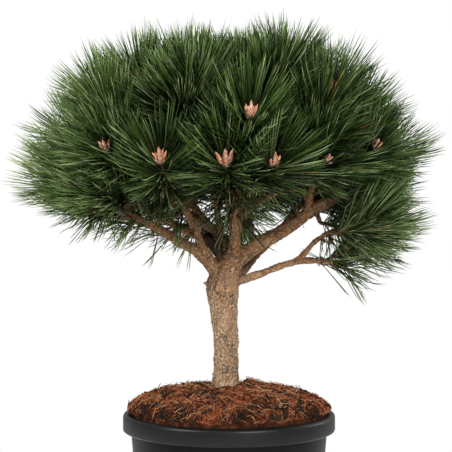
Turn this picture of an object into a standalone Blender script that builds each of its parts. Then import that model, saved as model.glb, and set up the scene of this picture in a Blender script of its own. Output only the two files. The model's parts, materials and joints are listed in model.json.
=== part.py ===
# Black pine trained as an umbrella on a short clear stem, growing in a round black nursery pot.
# Metres, +Z up. The origin is the middle of the pot's flat underside. A heading is in degrees:
# 0 looks towards -Y (the front), 90 towards +X (the right) and 180 towards the back.
import math
import random
from collections import namedtuple

import bmesh
import bpy
from mathutils import Vector

SEED = 7
GAP = 0.0003

# Pot: a tapered shell with a rolled rim whose skirt hangs clear of the wall
POT_HEIGHT = 0.250
POT_RIM_RADIUS = 0.150
POT_SHOULDER_RADIUS = 0.1405
POT_BASE_RADIUS = 0.121
POT_WALL = 0.0025
POT_FLOOR = 0.003
RIM_SKIRT = 0.024
RIM_ROUND = 0.005
BASE_CHAMFER = 0.004
POT_SEGMENTS = 48
DRAIN_HOLES = 8
DRAIN_WIDTH = 0.016
DRAIN_HEIGHT = 0.010

# Soil: a root ball that stands proud of the rim as a low mound round a level pad under the stem
SOIL_EDGE_HEIGHT = 0.248
SOIL_RISE = 0.040
SOIL_FULLNESS = 3.8
SOIL_SHOULDER = 0.62
SOIL_PAD_RADIUS = 0.026
SOIL_RINGS = 7
SOIL_RING_CROWDING = 1.3
SOIL_LUMP = 0.0018
SOIL_LEVEL_SHARE = 0.26
SOIL_WAVES = 5

# Trunk: (height, x, y, radius) from the cut at the soil up to the fork
TRUNK_FOOT = SOIL_EDGE_HEIGHT + SOIL_RISE + GAP
TRUNK_STATIONS = (
    (TRUNK_FOOT, -0.0045, 0.000, 0.0205),
    (0.300, -0.0046, 0.000, 0.0184),
    (0.330, -0.0045, 0.000, 0.0174),
    (0.365, -0.0053, 0.000, 0.0182),
    (0.400, -0.0074, 0.000, 0.0204),
    (0.430, -0.0086, 0.000, 0.0238),
    (0.450, -0.0030, -0.001, 0.0192),
    (0.468, 0.0055, -0.002, 0.0162),
    (0.484, 0.0115, -0.003, 0.0122),
)
TRUNK_RINGS = 15
TRUNK_SIDES = 14
TRUNK_FLUTES = 5
TRUNK_FLUTE_DEPTH = 0.035

# Boughs end on tiers of the crown: where their tips stand, how their last stretch climbs,
# and the middle of the foliage that each one carries
Tier = namedtuple("Tier", "tip_reach tip_height end_climb site_reach site_height")
TIERS = {
    "low": Tier(0.150, 0.460, -28, 0.207, 0.518),
    "low_rising": Tier(0.140, 0.504, 32, 0.207, 0.518),
    "skirt": Tier(0.140, 0.532, 28, 0.196, 0.552),
    "shoulder": Tier(0.124, 0.574, 40, 0.180, 0.624),
    "upper": Tier(0.088, 0.624, 58, 0.138, 0.684),
    "top": Tier(0.034, 0.650, 80, 0.045, 0.722),
}

# Each bough: its tier and heading, the limb it leaves and how far along, the climb and radius
# of its root, its tip's radius, and how far its tip stands over its tier. The first ten are the
# limbs that show from the front.
Bough = namedtuple(
    "Bough", "name tier heading parent share root_climb root_radius tip_radius lift", defaults=(0.0,)
)
BOUGHS = (
    Bough("left", "skirt", -66, "trunk", 0.70, 76, 0.0135, 0.0046, -0.006),
    Bough("right", "skirt", 88, "trunk", 0.870, 34, 0.0132, 0.0078, 0.016),
    Bough("front", "shoulder", 5, "trunk", 0.960, 86, 0.0100, 0.0060),
    Bough("low_right", "low", 92, "trunk", 0.710, 16, 0.0070, 0.0042),
    Bough("right_rear", "skirt", 127, "low_right", 0.10, 36, 0.0057, 0.0046, 0.014),
    Bough("front_left", "shoulder", -50, "left", 0.16, 62, 0.0072, 0.0046),
    Bough("right_fork", "shoulder", 78, "right", 0.80, 76, 0.0060, 0.0046),
    Bough("low_right_front", "low_rising", 76, "low_right", 0.66, 36, 0.0042, 0.0034),
    Bough("upper_left", "upper", -102, "trunk", 0.985, 16, 0.0074, 0.0042),
    Bough("upper_right_rear", "upper", 144, "trunk", 0.970, 70, 0.0070, 0.0042),
    Bough("left_rear", "skirt", -112, "trunk", 0.82, 72, 0.0094, 0.0046, 0.012),
    Bough("front_right", "shoulder", 40, "front", 0.30, 50, 0.0052, 0.0042),
    Bough("rear_left", "skirt", -153, "left_rear", 0.24, 40, 0.0054, 0.0042, 0.024),
    Bough("rear_right", "skirt", 168, "right_rear", 0.30, 40, 0.0046, 0.0040, 0.028),
    Bough("shoulder_left", "shoulder", -91, "upper_left", 0.26, 30, 0.0050, 0.0042),
    Bough("shoulder_rear_left", "shoulder", -136, "upper_left", 0.36, 35, 0.0048, 0.0042),
    Bough("shoulder_rear", "shoulder", 179, "upper_right_rear", 0.24, 40, 0.0050, 0.0042),
    Bough("shoulder_rear_right", "shoulder", 134, "upper_right_rear", 0.42, 40, 0.0048, 0.0042),
    Bough("upper_front", "upper", 20, "front", 0.52, 74, 0.0048, 0.0040),
    Bough("upper_front_left", "upper", -38, "front", 0.42, 66, 0.0048, 0.0040),
    Bough("upper_right", "upper", 84, "right_fork", 0.36, 76, 0.0046, 0.0040),
    Bough("upper_rear_left", "upper", -156, "upper_left", 0.50, 60, 0.0046, 0.0040),
    Bough("top_left", "top", -80, "upper_left", 0.15, 84, 0.0050, 0.0038),
    Bough("top_front", "top", 30, "front", 0.22, 88, 0.0050, 0.0038),
    Bough("top_rear", "top", 165, "upper_right_rear", 0.32, 84, 0.0046, 0.0038),
)
MAIN_STEPS = 8
MINOR_STEPS = 6
MAIN_ROOT_RADIUS = 0.0054
THICK_ROOT_RADIUS = 0.009
RADIUS_EASE = 0.55
ROOT_PULL = 0.95
TIP_PULL = 0.70
WANDER = 0.022
WANDER_WAVES = 2.6
NEIGHBOUR_DISTANCE = 0.012

# Shoots ring the crown: how many, the first heading, the arc that they fill, how far out and
# how high their buds stand, and how steeply they climb
Ring = namedtuple("Ring", "count first arc reach height climb")
RINGS = (
    Ring(5, 62, 60, 0.206, 0.512, 22),
    Ring(12, 82, 216, 0.210, 0.562, 12),
    Ring(15, -1, 360, 0.218, 0.612, 32),
    Ring(12, 9, 360, 0.188, 0.674, 50),
    Ring(9, 25, 360, 0.140, 0.712, 66),
    Ring(6, 5, 360, 0.082, 0.720, 78),
    Ring(2, 80, 360, 0.026, 0.714, 86),
)
REAR_LIFT = 0.012
LEFT_STRETCH = 0.045
SHOOT_JITTER = 0.006
TURN_JITTER = 5.0

# Twigs and needles
STEM_SHARE = 0.30
STEM_TAPER = 0.9
FORK_SHARE = 0.7
TWIG_RADIUS = 0.0036
TWIG_THINNER = 0.85
TWIG_STEPS = 2
TWIG_OVERLAP = 0.3
LEAFY_LENGTH = 0.080
LEAFY_SHARE = 0.80
BUD_LENGTH = 0.014
CORE_RADIUS = 0.0078
CORE_SIDES = 5
NEEDLE_LENGTH = 0.096
NEEDLE_HALF_WIDTH = 0.0040
NEEDLES_PER_SHOOT = 14
NEEDLE_SPREAD_FOOT = 72.0
NEEDLE_SPREAD_BUD = 26.0
GOLDEN_ANGLE = math.radians(137.508)
SPREAD_JITTER = 7.0
WIND_JITTER = 0.3
SETTLING_ROUNDS = 8
MOST_TRIES = 12
MERGE = 2e-6

COLOURS = {
    "pot": ((0.022, 0.024, 0.027), 0.42),
    "soil": ((0.120, 0.048, 0.022), 0.95),
    "bark": ((0.235, 0.150, 0.095), 0.85),
    "needles": ((0.040, 0.085, 0.022), 0.55),
}


def clear_scene():
    for obj in list(bpy.data.objects):
        bpy.data.objects.remove(obj, do_unlink=True)


def material(name):
    """The named finish as a Principled material, made once."""
    found = bpy.data.materials.get(name)
    if found:
        return found
    colour, roughness = COLOURS[name]
    made = bpy.data.materials.new(name)
    made.use_nodes = True
    shader = made.node_tree.nodes["Principled BSDF"]
    shader.inputs["Base Color"].default_value = (*colour, 1.0)
    shader.inputs["Roughness"].default_value = roughness
    shader.inputs["Metallic"].default_value = 0.0
    return made


def mesh_object(name, points, faces, finish, smooth=True):
    """A mesh object whose faces all point outwards."""
    mesh = bpy.data.meshes.new(name)
    mesh.from_pydata(points, [], faces)
    shaped = bmesh.new()
    shaped.from_mesh(mesh)
    bmesh.ops.recalc_face_normals(shaped, faces=shaped.faces)
    shaped.to_mesh(mesh)
    shaped.free()
    if smooth:
        mesh.shade_smooth()
    mesh.materials.append(material(finish))
    obj = bpy.data.objects.new(name, mesh)
    bpy.context.scene.collection.objects.link(obj)
    return obj


def helper(obj):
    """Marks an object as a cutter, which isn't part of the plant."""
    obj.hide_render = True
    obj.display_type = "WIRE"
    return obj


def heading_vector(heading, climb=0.0):
    turn, rise = math.radians(heading), math.radians(climb)
    flat = math.cos(rise)
    return Vector((math.sin(turn) * flat, -math.cos(turn) * flat, math.sin(rise)))


def standing(heading, reach, height):
    """The point at that heading and distance from the pot's axis, at that height."""
    return heading_vector(heading) * reach + Vector((0, 0, height))


def hermite(start, start_pull, end, end_pull, share):
    s2, s3 = share * share, share**3
    return (
        start * (2 * s3 - 3 * s2 + 1)
        + start_pull * (s3 - 2 * s2 + share)
        + end * (3 * s2 - 2 * s3)
        + end_pull * (s3 - s2)
    )


# A limb is a line of points with a radius at each
Limb = namedtuple("Limb", "points radii")


def along(limb, share):
    """The point at a share of the limb's length."""
    steps = [there - here for here, there in zip(limb.points, limb.points[1:])]
    left = share * sum(step.length for step in steps)
    for here, step in zip(limb.points, steps):
        if left <= step.length:
            return here + step * (left / step.length)
        left -= step.length
    return limb.points[-1]


def trunk_limb():
    """The trunk's axis, eased through its stations."""
    heights = [station[0] for station in TRUNK_STATIONS]
    points, radii = [], []
    for ring in range(TRUNK_RINGS):
        share = ring / (TRUNK_RINGS - 1)
        place = share * (len(heights) - 1)
        low = min(int(place), len(heights) - 2)
        mix = place - low
        before = TRUNK_STATIONS[max(low - 1, 0)]
        here, there = TRUNK_STATIONS[low], TRUNK_STATIONS[low + 1]
        after = TRUNK_STATIONS[min(low + 2, len(heights) - 1)]
        eased = [
            hermite(here[k], (there[k] - before[k]) / 2, there[k], (after[k] - here[k]) / 2, mix)
            for k in range(4)
        ]
        points.append(Vector((eased[1], eased[2], eased[0])))
        radii.append(eased[3])
    return Limb(points, radii)


def is_main(bough):
    return bough.root_radius > MAIN_ROOT_RADIUS


def bough_limb(bough, parent):
    """A bough's axis: from inside its parent, in one sweep, to its tip on its tier."""
    tier = TIERS[bough.tier]
    rng = random.Random(SEED + bough.heading)
    root = along(parent, bough.share)
    tip = standing(bough.heading, tier.tip_reach, tier.tip_height + bough.lift)
    outward = tip - root
    facing = math.degrees(math.atan2(outward.x, -outward.y))
    length = outward.length
    start_pull = heading_vector(facing, bough.root_climb) * length * ROOT_PULL
    end_pull = heading_vector(bough.heading, tier.end_climb) * length * TIP_PULL
    sway = Vector([rng.uniform(-1, 1) for _ in range(3)]) * length * WANDER
    points, radii = [], []
    steps = MAIN_STEPS if is_main(bough) else MINOR_STEPS
    for ring in range(steps + 1):
        share = ring / steps
        eased = math.sin(math.pi * share) * math.sin(WANDER_WAVES * math.pi * share)
        points.append(hermite(root, start_pull, tip, end_pull, share) + sway * eased)
        thinner = bough.tip_radius - bough.root_radius
        radii.append(bough.root_radius + thinner * share**RADIUS_EASE)
    return Limb(points, radii)


def all_limbs():
    limbs = {"trunk": trunk_limb()}
    for bough in BOUGHS:
        limbs[bough.name] = bough_limb(bough, limbs[bough.parent])
    return limbs


def side_vectors(points):
    """Two unit vectors across each point's direction, carried along so that a tube doesn't twist."""
    frames = []
    across = None
    for index in range(len(points)):
        ahead = points[min(index + 1, len(points) - 1)]
        behind = points[max(index - 1, 0)]
        direction = (ahead - behind).normalized()
        if across is None:
            guide = Vector((0, 1, 0)) if abs(direction.y) < 0.9 else Vector((1, 0, 0))
            across = guide.cross(direction).normalized()
        across = (across - direction * across.dot(direction)).normalized()
        frames.append((across, direction.cross(across)))
    return frames


def tube_mesh(points, radii, sides, flute=None, level_ends=False):
    """Points and faces of a closed tube with flat ends."""
    frames = side_vectors(points)
    if level_ends:
        frames = [(Vector((1, 0, 0)), Vector((0, 1, 0)))] * len(points)
    vertices, faces = [], []
    for ring, (point, radius) in enumerate(zip(points, radii)):
        first, second = frames[ring]
        for side in range(sides):
            turn = 2 * math.pi * side / sides
            wide = radius * (flute(turn, ring) if flute else 1.0)
            vertices.append(point + (first * math.cos(turn) + second * math.sin(turn)) * wide)
    for ring in range(len(points) - 1):
        for side in range(sides):
            after = (side + 1) % sides
            low, high = ring * sides, (ring + 1) * sides
            faces.append((low + side, low + after, high + after, high + side))
    last = (len(points) - 1) * sides
    faces.append(tuple(reversed(range(sides))))
    faces.append(tuple(range(last, last + sides)))
    return vertices, faces


def turned_mesh(profile, segments):
    """Points and faces of a closed ring profile turned round the Z axis."""
    vertices, faces = [], []
    for segment in range(segments):
        turn = 2 * math.pi * segment / segments
        for radius, height in profile:
            vertices.append((radius * math.cos(turn), radius * math.sin(turn), height))
    count = len(profile)
    for segment in range(segments):
        after = (segment + 1) % segments
        for index in range(count - 1):
            here, there = segment * count + index, after * count + index
            faces.append((here, there, there + 1, here + 1))
    faces.append(tuple(segment * count for segment in range(segments)))
    faces.append(tuple(segment * count + count - 1 for segment in reversed(range(segments))))
    return vertices, faces


def pot_wall_radius(height):
    """The wall's outer radius at that height."""
    return POT_BASE_RADIUS + (POT_SHOULDER_RADIUS - POT_BASE_RADIUS) * height / POT_HEIGHT


def inner_radius(height):
    return pot_wall_radius(height) - POT_WALL


def make_pot():
    """The pot's outline, from the rim of its underside up, over the lip and down to its floor."""
    skirt_foot = POT_HEIGHT - RIM_SKIRT
    under_lip = POT_HEIGHT - POT_WALL
    profile = [
        (POT_BASE_RADIUS - BASE_CHAMFER, 0.0),
        (POT_BASE_RADIUS, BASE_CHAMFER),
        (pot_wall_radius(skirt_foot), skirt_foot),
        (pot_wall_radius(under_lip), under_lip),
        (POT_RIM_RADIUS - POT_WALL - 0.001, under_lip - RIM_ROUND / 2),
        (POT_RIM_RADIUS - POT_WALL, skirt_foot),
        (POT_RIM_RADIUS, skirt_foot),
    ]
    for turn in (0.0, math.radians(45), math.radians(90)):
        profile.append(
            (
                POT_RIM_RADIUS - RIM_ROUND * (1 - math.cos(turn)),
                POT_HEIGHT - RIM_ROUND * (1 - math.sin(turn)),
            )
        )
    profile += [
        (inner_radius(POT_HEIGHT) + RIM_ROUND / 2, POT_HEIGHT),
        (inner_radius(POT_HEIGHT - RIM_ROUND), POT_HEIGHT - RIM_ROUND),
        (inner_radius(POT_FLOOR), POT_FLOOR),
    ]
    pot = mesh_object("pot", *turned_mesh(profile, POT_SEGMENTS), "pot")
    pot.data.set_sharp_from_angle(angle=math.radians(35))
    for hole in range(DRAIN_HOLES):
        turn = 2 * math.pi * (hole + 0.5) / DRAIN_HOLES
        bpy.ops.mesh.primitive_cube_add(size=1, rotation=(0, 0, turn))
        cutter = helper(bpy.context.object)
        cutter.name = f"drain_cutter_{hole}"
        cutter.scale = (POT_WALL * 8, DRAIN_WIDTH, DRAIN_HEIGHT)
        reach = POT_BASE_RADIUS
        height = BASE_CHAMFER + DRAIN_HEIGHT / 2
        cutter.location = (reach * math.cos(turn), reach * math.sin(turn), height)
        cut = pot.modifiers.new(f"drain_{hole}", "BOOLEAN")
        cut.operation = "DIFFERENCE"
        cut.object = cutter
    return pot


def soil_height(share, turn, waves):
    """The mound's height at a share of the way out, with lumps that die out at the pad and edge."""
    rise = (1 - share**SOIL_FULLNESS) ** SOIL_SHOULDER
    lump = sum(
        math.sin(across * turn + phase) * math.sin(math.pi * share * outward)
        for across, outward, phase in waves
    )
    inner_fade = min(1.0, max(0.0, (share - SOIL_LEVEL_SHARE) * 5))
    fade = inner_fade * min(1.0, (1 - share) * 8)
    return SOIL_EDGE_HEIGHT + SOIL_RISE * rise + SOIL_LUMP * lump * fade


def make_soil():
    """The root ball, clear of the pot's floor and wall, with a level pad where the trunk stands."""
    rng = random.Random(SEED)
    waves = [(rng.randint(2, 7), rng.randint(1, 3), rng.uniform(0, 6.28)) for _ in range(SOIL_WAVES)]
    edge = inner_radius(SOIL_EDGE_HEIGHT) - GAP
    floor = POT_FLOOR + GAP
    inward = 1 - SOIL_PAD_RADIUS * 1.3 / edge
    steps = [ring / (SOIL_RINGS - 1) for ring in range(SOIL_RINGS)]
    profile_shares = [1 - inward * step**SOIL_RING_CROWDING for step in steps]
    vertices, faces = [], []
    for segment in range(POT_SEGMENTS):
        turn = 2 * math.pi * segment / POT_SEGMENTS
        flat = Vector((math.cos(turn), math.sin(turn), 0))
        vertices.append(flat * (inner_radius(floor) - GAP) + Vector((0, 0, floor)))
        for share in profile_shares:
            height = soil_height(share, turn, waves)
            vertices.append(flat * (edge * share) + Vector((0, 0, height)))
        vertices.append(flat * SOIL_PAD_RADIUS + Vector((0, 0, TRUNK_FOOT - GAP)))
    count = SOIL_RINGS + 2
    for segment in range(POT_SEGMENTS):
        after = (segment + 1) % POT_SEGMENTS
        for index in range(count - 1):
            here, there = segment * count + index, after * count + index
            faces.append((here, there, there + 1, here + 1))
    faces.append(tuple(segment * count for segment in range(POT_SEGMENTS)))
    faces.append(tuple(s * count + count - 1 for s in reversed(range(POT_SEGMENTS))))
    return mesh_object("soil", vertices, faces, "soil")


def trunk_flute(turn, ring):
    """Shallow flutes that are deepest at the root flare."""
    depth = TRUNK_FLUTE_DEPTH * (2.0 if ring == 0 else 1.0)
    return 1 + depth * math.sin(TRUNK_FLUTES * turn + ring * 0.5)


def limb_object(name, limb, sides, grow=0.0):
    radii = [radius + grow for radius in limb.radii]
    is_trunk = limb is LIMBS["trunk"]
    flute = trunk_flute if is_trunk else None
    vertices, faces = tube_mesh(limb.points, radii, sides, flute, level_ends=is_trunk)
    return mesh_object(name, vertices, faces, "bark")


def bough_sides(bough):
    if bough.root_radius > THICK_ROOT_RADIUS:
        return 10
    return 8 if is_main(bough) else 6


def nearness(first, second):
    """The least clear distance between two limbs, taken between their points."""
    least = 1.0
    for index in range(len(first.points)):
        for other in range(len(second.points)):
            apart = (first.points[index] - second.points[other]).length
            least = min(least, apart - first.radii[index] - second.radii[other])
    return least


def make_limbs():
    """The trunk, then each bough, cut clear of the limbs that were made before it."""
    limb_object("trunk", LIMBS["trunk"], TRUNK_SIDES)
    cutters = {"trunk": helper(limb_object("grown_trunk", LIMBS["trunk"], TRUNK_SIDES, GAP))}
    for bough in BOUGHS:
        limb = LIMBS[bough.name]
        sides = bough_sides(bough)
        obj = limb_object(f"bough_{bough.name}", limb, sides)
        for name, cutter in cutters.items():
            if name != bough.parent and nearness(limb, LIMBS[name]) > NEIGHBOUR_DISTANCE:
                continue
            cut = obj.modifiers.new(f"clear_of_{name}", "BOOLEAN")
            cut.operation = "DIFFERENCE"
            cut.object = cutter
        cutters[bough.name] = helper(limb_object(f"grown_{bough.name}", limb, sides, GAP))


# A shoot is a twig that ends in a bud: where the bud is and which way the twig points there
Shoot = namedtuple("Shoot", "bud direction")


def all_shoots():
    """The shoots on their rings, each moved and turned a little."""
    rng = random.Random(SEED + 1)
    shoots = []
    for ring in RINGS:
        full = ring.arc >= 360
        for index in range(ring.count):
            heading = ring.first + ring.arc * index / (ring.count if full else ring.count - 1)
            lift = 0.0 if full else REAR_LIFT * max(0.0, -math.cos(math.radians(heading)) - 0.2)
            reach = ring.reach * (1 + LEFT_STRETCH * max(0.0, -math.sin(math.radians(heading))))
            bud = standing(heading, reach, ring.height + lift)
            bud += Vector([rng.uniform(-SHOOT_JITTER, SHOOT_JITTER) for _ in range(3)])
            turned = heading + rng.uniform(-TURN_JITTER, TURN_JITTER)
            climb = ring.climb + rng.uniform(-TURN_JITTER, TURN_JITTER)
            shoots.append(Shoot(bud, heading_vector(turned, climb)))
    return shoots


def sites():
    """The middle of each bough's foliage."""
    found = {}
    for bough in BOUGHS:
        tier = TIERS[bough.tier]
        found[bough.name] = standing(bough.heading, tier.site_reach, tier.site_height)
    return found


def nearest_site(point):
    return min(SITES, key=lambda name: (SITES[name] - point).length)


def borders(name):
    """The planes between a mass's space and its neighbours', as (point, direction out of it)."""
    own = SITES[name]
    for other, site in SITES.items():
        if other != name:
            yield (site + own) / 2, (site - own).normalized()


def keeps_to(name, point, margin):
    """True if the point lies in the mass's space, at least the margin from its borders."""
    return all((point - middle).dot(out) < -margin for middle, out in borders(name))


def settled(name, point, margin):
    """The point, moved into the mass's space where it lies outside or nearer than the margin."""
    for _ in range(SETTLING_ROUNDS):
        for middle, out in borders(name):
            past = (point - middle).dot(out) + margin
            if past > 0:
                point = point - out * past
    return point


def segment_distance(a, b, c, d):
    """The least distance between segments ab and cd, found by projecting to and fro."""
    ab, cd = b - a, d - c
    share = 0.5
    for _ in range(6):
        other = min(1.0, max(0.0, (a + ab * share - c).dot(cd) / cd.length_squared))
        nearest = c + cd * other
        share = min(1.0, max(0.0, (nearest - a).dot(ab) / ab.length_squared))
    return (a + ab * share - nearest).length


def clear_of_limbs(start, end, width, left_out=()):
    """True if a straight rod of that half width touches no limb."""
    for name, limb in LIMBS.items():
        if name in left_out:
            continue
        for index in range(len(limb.points) - 1):
            low, high = limb.points[index], limb.points[index + 1]
            radius = max(limb.radii[index], limb.radii[index + 1])
            if segment_distance(start, end, low, high) < radius + width:
                return False
    return True


def twig_points(fork, way, foot, direction):
    """A twig's line from the stem's fork to the foot of its leafy end."""
    pull = (foot - fork).length
    return [
        hermite(fork, way * pull, foot, direction * pull, step / TWIG_STEPS)
        for step in range(TWIG_STEPS + 1)
    ]


def needle_spikes(name, foot, bud, rng):
    """The needles of one shoot as (root, tip): wide apart at its foot and close at its bud."""
    spikes = []
    direction = (bud - foot).normalized()
    across, up = side_vectors([foot, bud])[0]
    margin = NEEDLE_HALF_WIDTH + GAP
    for index in range(NEEDLES_PER_SHOOT):
        share = (index + 0.5) / NEEDLES_PER_SHOOT
        spread = NEEDLE_SPREAD_FOOT + (NEEDLE_SPREAD_BUD - NEEDLE_SPREAD_FOOT) * share
        spread = math.radians(spread + rng.uniform(-SPREAD_JITTER, SPREAD_JITTER))
        turn = index * GOLDEN_ANGLE + rng.uniform(-WIND_JITTER, WIND_JITTER)
        side = across * math.cos(turn) + up * math.sin(turn)
        way = direction * math.cos(spread) + side * math.sin(spread)
        root = foot + (bud - foot) * share
        tip = root + way * NEEDLE_LENGTH * rng.uniform(0.88, 1.04)
        if not (keeps_to(name, tip, GAP * 2) and keeps_to(name, root, margin)):
            continue
        if clear_of_limbs(root + way * CORE_RADIUS, tip, margin):
            spikes.append((root, tip))
    return spikes


def spike_object(root, tip, label):
    """A needle: a slim pyramid on a three-sided foot."""
    across, up = side_vectors([root, tip])[0]
    corners = [
        root + (across * math.cos(turn) + up * math.sin(turn)) * NEEDLE_HALF_WIDTH
        for turn in (0.0, 2 * math.pi / 3, 4 * math.pi / 3)
    ]
    faces = [(0, 1, 2), (0, 1, 3), (1, 2, 3), (2, 0, 3)]
    return mesh_object(label, [*corners, tip], faces, "needles", smooth=False)


def core_object(foot, bud, label):
    """The close needle bases along a shoot, which narrow to its bud."""
    stops = ((-0.04, 0.6), (0.40, 1.0), (0.92, 0.6))
    points = [foot + (bud - foot) * share for share, _ in stops]
    radii = [CORE_RADIUS * wide for _, wide in stops]
    points.append(bud + (bud - foot).normalized() * BUD_LENGTH)
    radii.append(CORE_RADIUS * 0.1)
    return mesh_object(label, *tube_mesh(points, radii, CORE_SIDES), "needles")


def shoot_objects(name, number, shoot, fork, way, thickest, rng):
    """A twig from the stem's fork, the core along its leafy end, and the needles round that."""
    margin = CORE_RADIUS + GAP
    bud = settled(name, shoot.bud, margin)
    leafy = min(LEAFY_LENGTH, LEAFY_SHARE * (bud - fork).length)
    foot = settled(name, bud - shoot.direction * leafy, margin)
    direction = (bud - foot).normalized()
    points = twig_points(fork, way, foot, direction)
    radii = [min(thickest, TWIG_RADIUS)] * len(points)
    crossed = [
        step
        for step in range(TWIG_STEPS)
        if not clear_of_limbs(points[step], points[step + 1], radii[0], left_out=[name])
    ]
    if crossed or not clear_of_limbs(foot, bud, CORE_RADIUS, left_out=[name]):
        print(f"skipped shoot {number} of {name}, which would touch a limb")
        return []
    points.append(foot + direction * leafy * TWIG_OVERLAP)
    radii.append(radii[0] * 0.8)
    made = [
        mesh_object(f"twig_{number}", *tube_mesh(points, radii, 3), "needles"),
        core_object(foot, bud, f"core_{number}"),
    ]
    for count, (root, tip) in enumerate(needle_spikes(name, foot, bud, rng)):
        made.append(spike_object(root, tip, f"spike_{number}_{count}"))
    return made


def make_mass(bough, shoots, rng):
    """One mass of foliage: a stem that forks to its shoots, each with its needles, all fused."""
    limb = LIMBS[bough.name]
    radius = limb.radii[-1]
    way = (limb.points[-1] - limb.points[-2]).normalized()
    start = limb.points[-1] + way * GAP
    middle = sum((shoot.bud for shoot in shoots), Vector()) / len(shoots)
    stem_length = STEM_SHARE * (middle - start).length
    stem_points = [start, start + way * stem_length]
    stem_mesh = tube_mesh(stem_points, [radius, radius * STEM_TAPER], bough_sides(bough))
    parts = bpy.data.collections.new(f"parts_{bough.name}")
    bpy.context.scene.collection.children.link(parts)
    fork = start + way * stem_length * FORK_SHARE
    for _ in range(MOST_TRIES):
        stem = mesh_object(f"needles_{bough.name}", *stem_mesh, "needles")
        for number, shoot in enumerate(shoots):
            thickest = radius * TWIG_THINNER
            for obj in shoot_objects(bough.name, number, shoot, fork, way, thickest, rng):
                bpy.context.scene.collection.objects.unlink(obj)
                parts.objects.link(obj)
        fuse(stem, parts)
        if cleaned(stem.data):
            break
        print(f"trying {stem.name} again")
        bpy.data.objects.remove(stem, do_unlink=True)
    bpy.data.collections.remove(parts)


def fuse(obj, parts):
    """Joins a collection's objects to obj by one Boolean union, and removes them."""
    join = obj.modifiers.new("fuse", "BOOLEAN")
    join.operation = "UNION"
    join.operand_type = "COLLECTION"
    join.collection = parts
    join.solver = "EXACT"
    bpy.context.view_layer.update()
    graph = bpy.context.evaluated_depsgraph_get()
    fused = bpy.data.meshes.new_from_object(obj.evaluated_get(graph))
    obj.modifiers.clear()
    obj.data = fused
    for part in list(parts.objects):
        bpy.data.objects.remove(part, do_unlink=True)


def cleaned(mesh):
    """Merges the points that a union leaves all but together. False if that opens the mesh."""
    shaped = bmesh.new()
    shaped.from_mesh(mesh)
    bmesh.ops.triangulate(shaped, faces=shaped.faces)
    bmesh.ops.remove_doubles(shaped, verts=shaped.verts, dist=MERGE)
    bmesh.ops.dissolve_degenerate(shaped, edges=shaped.edges, dist=MERGE)
    bmesh.ops.triangulate(shaped, faces=shaped.faces)
    sound = all(edge.is_manifold for edge in shaped.edges)
    shaped.to_mesh(mesh)
    shaped.free()
    return sound


def make_foliage():
    """Every mass: the shoots whose buds lie in its space, on the stem at its bough's tip."""
    carried = {bough.name: [] for bough in BOUGHS}
    for shoot in SHOOTS:
        carried[nearest_site(shoot.bud)].append(shoot)
    for number, bough in enumerate(BOUGHS):
        make_mass(bough, carried[bough.name], random.Random(SEED * 100 + number))


LIMBS = all_limbs()
SITES = sites()
SHOOTS = all_shoots()

clear_scene()
make_pot()
make_soil()
make_limbs()
make_foliage()
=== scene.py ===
# Looks of the potted black pine: bark, twigs, needles, buds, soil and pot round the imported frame.
# Metres, +Z up, in the frame's own space. A heading is in degrees: 0 looks towards -Y (the front),
# 90 towards +X (the right) and 180 towards the back.
import itertools
import json
import math
import random
from collections import namedtuple

import bpy
import numpy as np
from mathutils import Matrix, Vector, kdtree, noise

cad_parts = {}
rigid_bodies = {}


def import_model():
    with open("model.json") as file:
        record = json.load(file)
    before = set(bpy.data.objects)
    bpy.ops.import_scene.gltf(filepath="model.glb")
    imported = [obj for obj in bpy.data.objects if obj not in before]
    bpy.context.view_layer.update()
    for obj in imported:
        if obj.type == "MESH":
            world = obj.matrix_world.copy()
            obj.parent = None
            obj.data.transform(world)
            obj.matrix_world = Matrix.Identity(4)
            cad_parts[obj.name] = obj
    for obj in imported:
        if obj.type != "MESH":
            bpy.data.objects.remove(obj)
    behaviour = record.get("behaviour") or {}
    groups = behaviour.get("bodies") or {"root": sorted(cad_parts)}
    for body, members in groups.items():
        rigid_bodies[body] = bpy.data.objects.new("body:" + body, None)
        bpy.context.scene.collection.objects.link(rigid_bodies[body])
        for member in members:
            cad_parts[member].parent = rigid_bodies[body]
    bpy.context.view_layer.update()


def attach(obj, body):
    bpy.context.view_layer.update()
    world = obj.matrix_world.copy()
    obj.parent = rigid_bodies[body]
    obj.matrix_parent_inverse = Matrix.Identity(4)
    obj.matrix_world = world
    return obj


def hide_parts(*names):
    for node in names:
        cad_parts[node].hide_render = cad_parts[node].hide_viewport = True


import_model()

SEED = 7
UP = Vector((0, 0, 1))
GOLDEN_ANGLE = math.radians(137.508)

# Pot and soil, as in the part's source
POT_HEIGHT = 0.250
POT_RIM_RADIUS = 0.150
POT_SHOULDER_RADIUS = 0.1405
POT_BASE_RADIUS = 0.121
POT_WALL = 0.0025
POT_FLOOR = 0.003
RIM_SKIRT = 0.024
RIM_ROUND = 0.005
BASE_CHAMFER = 0.004
DRAIN_HOLES = 8
DRAIN_WIDTH = 0.016
DRAIN_HEIGHT = 0.010
SOIL_EDGE_HEIGHT = 0.248

# Trunk: (height, x, y, radius) from the cut at the soil up to the fork, as in the part's source
TRUNK_FOOT = 0.2883
TRUNK_STATIONS = (
    (TRUNK_FOOT, -0.0045, 0.000, 0.0205),
    (0.300, -0.0046, 0.000, 0.0184),
    (0.330, -0.0045, 0.000, 0.0174),
    (0.365, -0.0053, 0.000, 0.0182),
    (0.400, -0.0074, 0.000, 0.0204),
    (0.430, -0.0086, 0.000, 0.0238),
    (0.450, -0.0030, -0.001, 0.0192),
    (0.468, 0.0055, -0.002, 0.0162),
    (0.484, 0.0115, -0.003, 0.0122),
)

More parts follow.
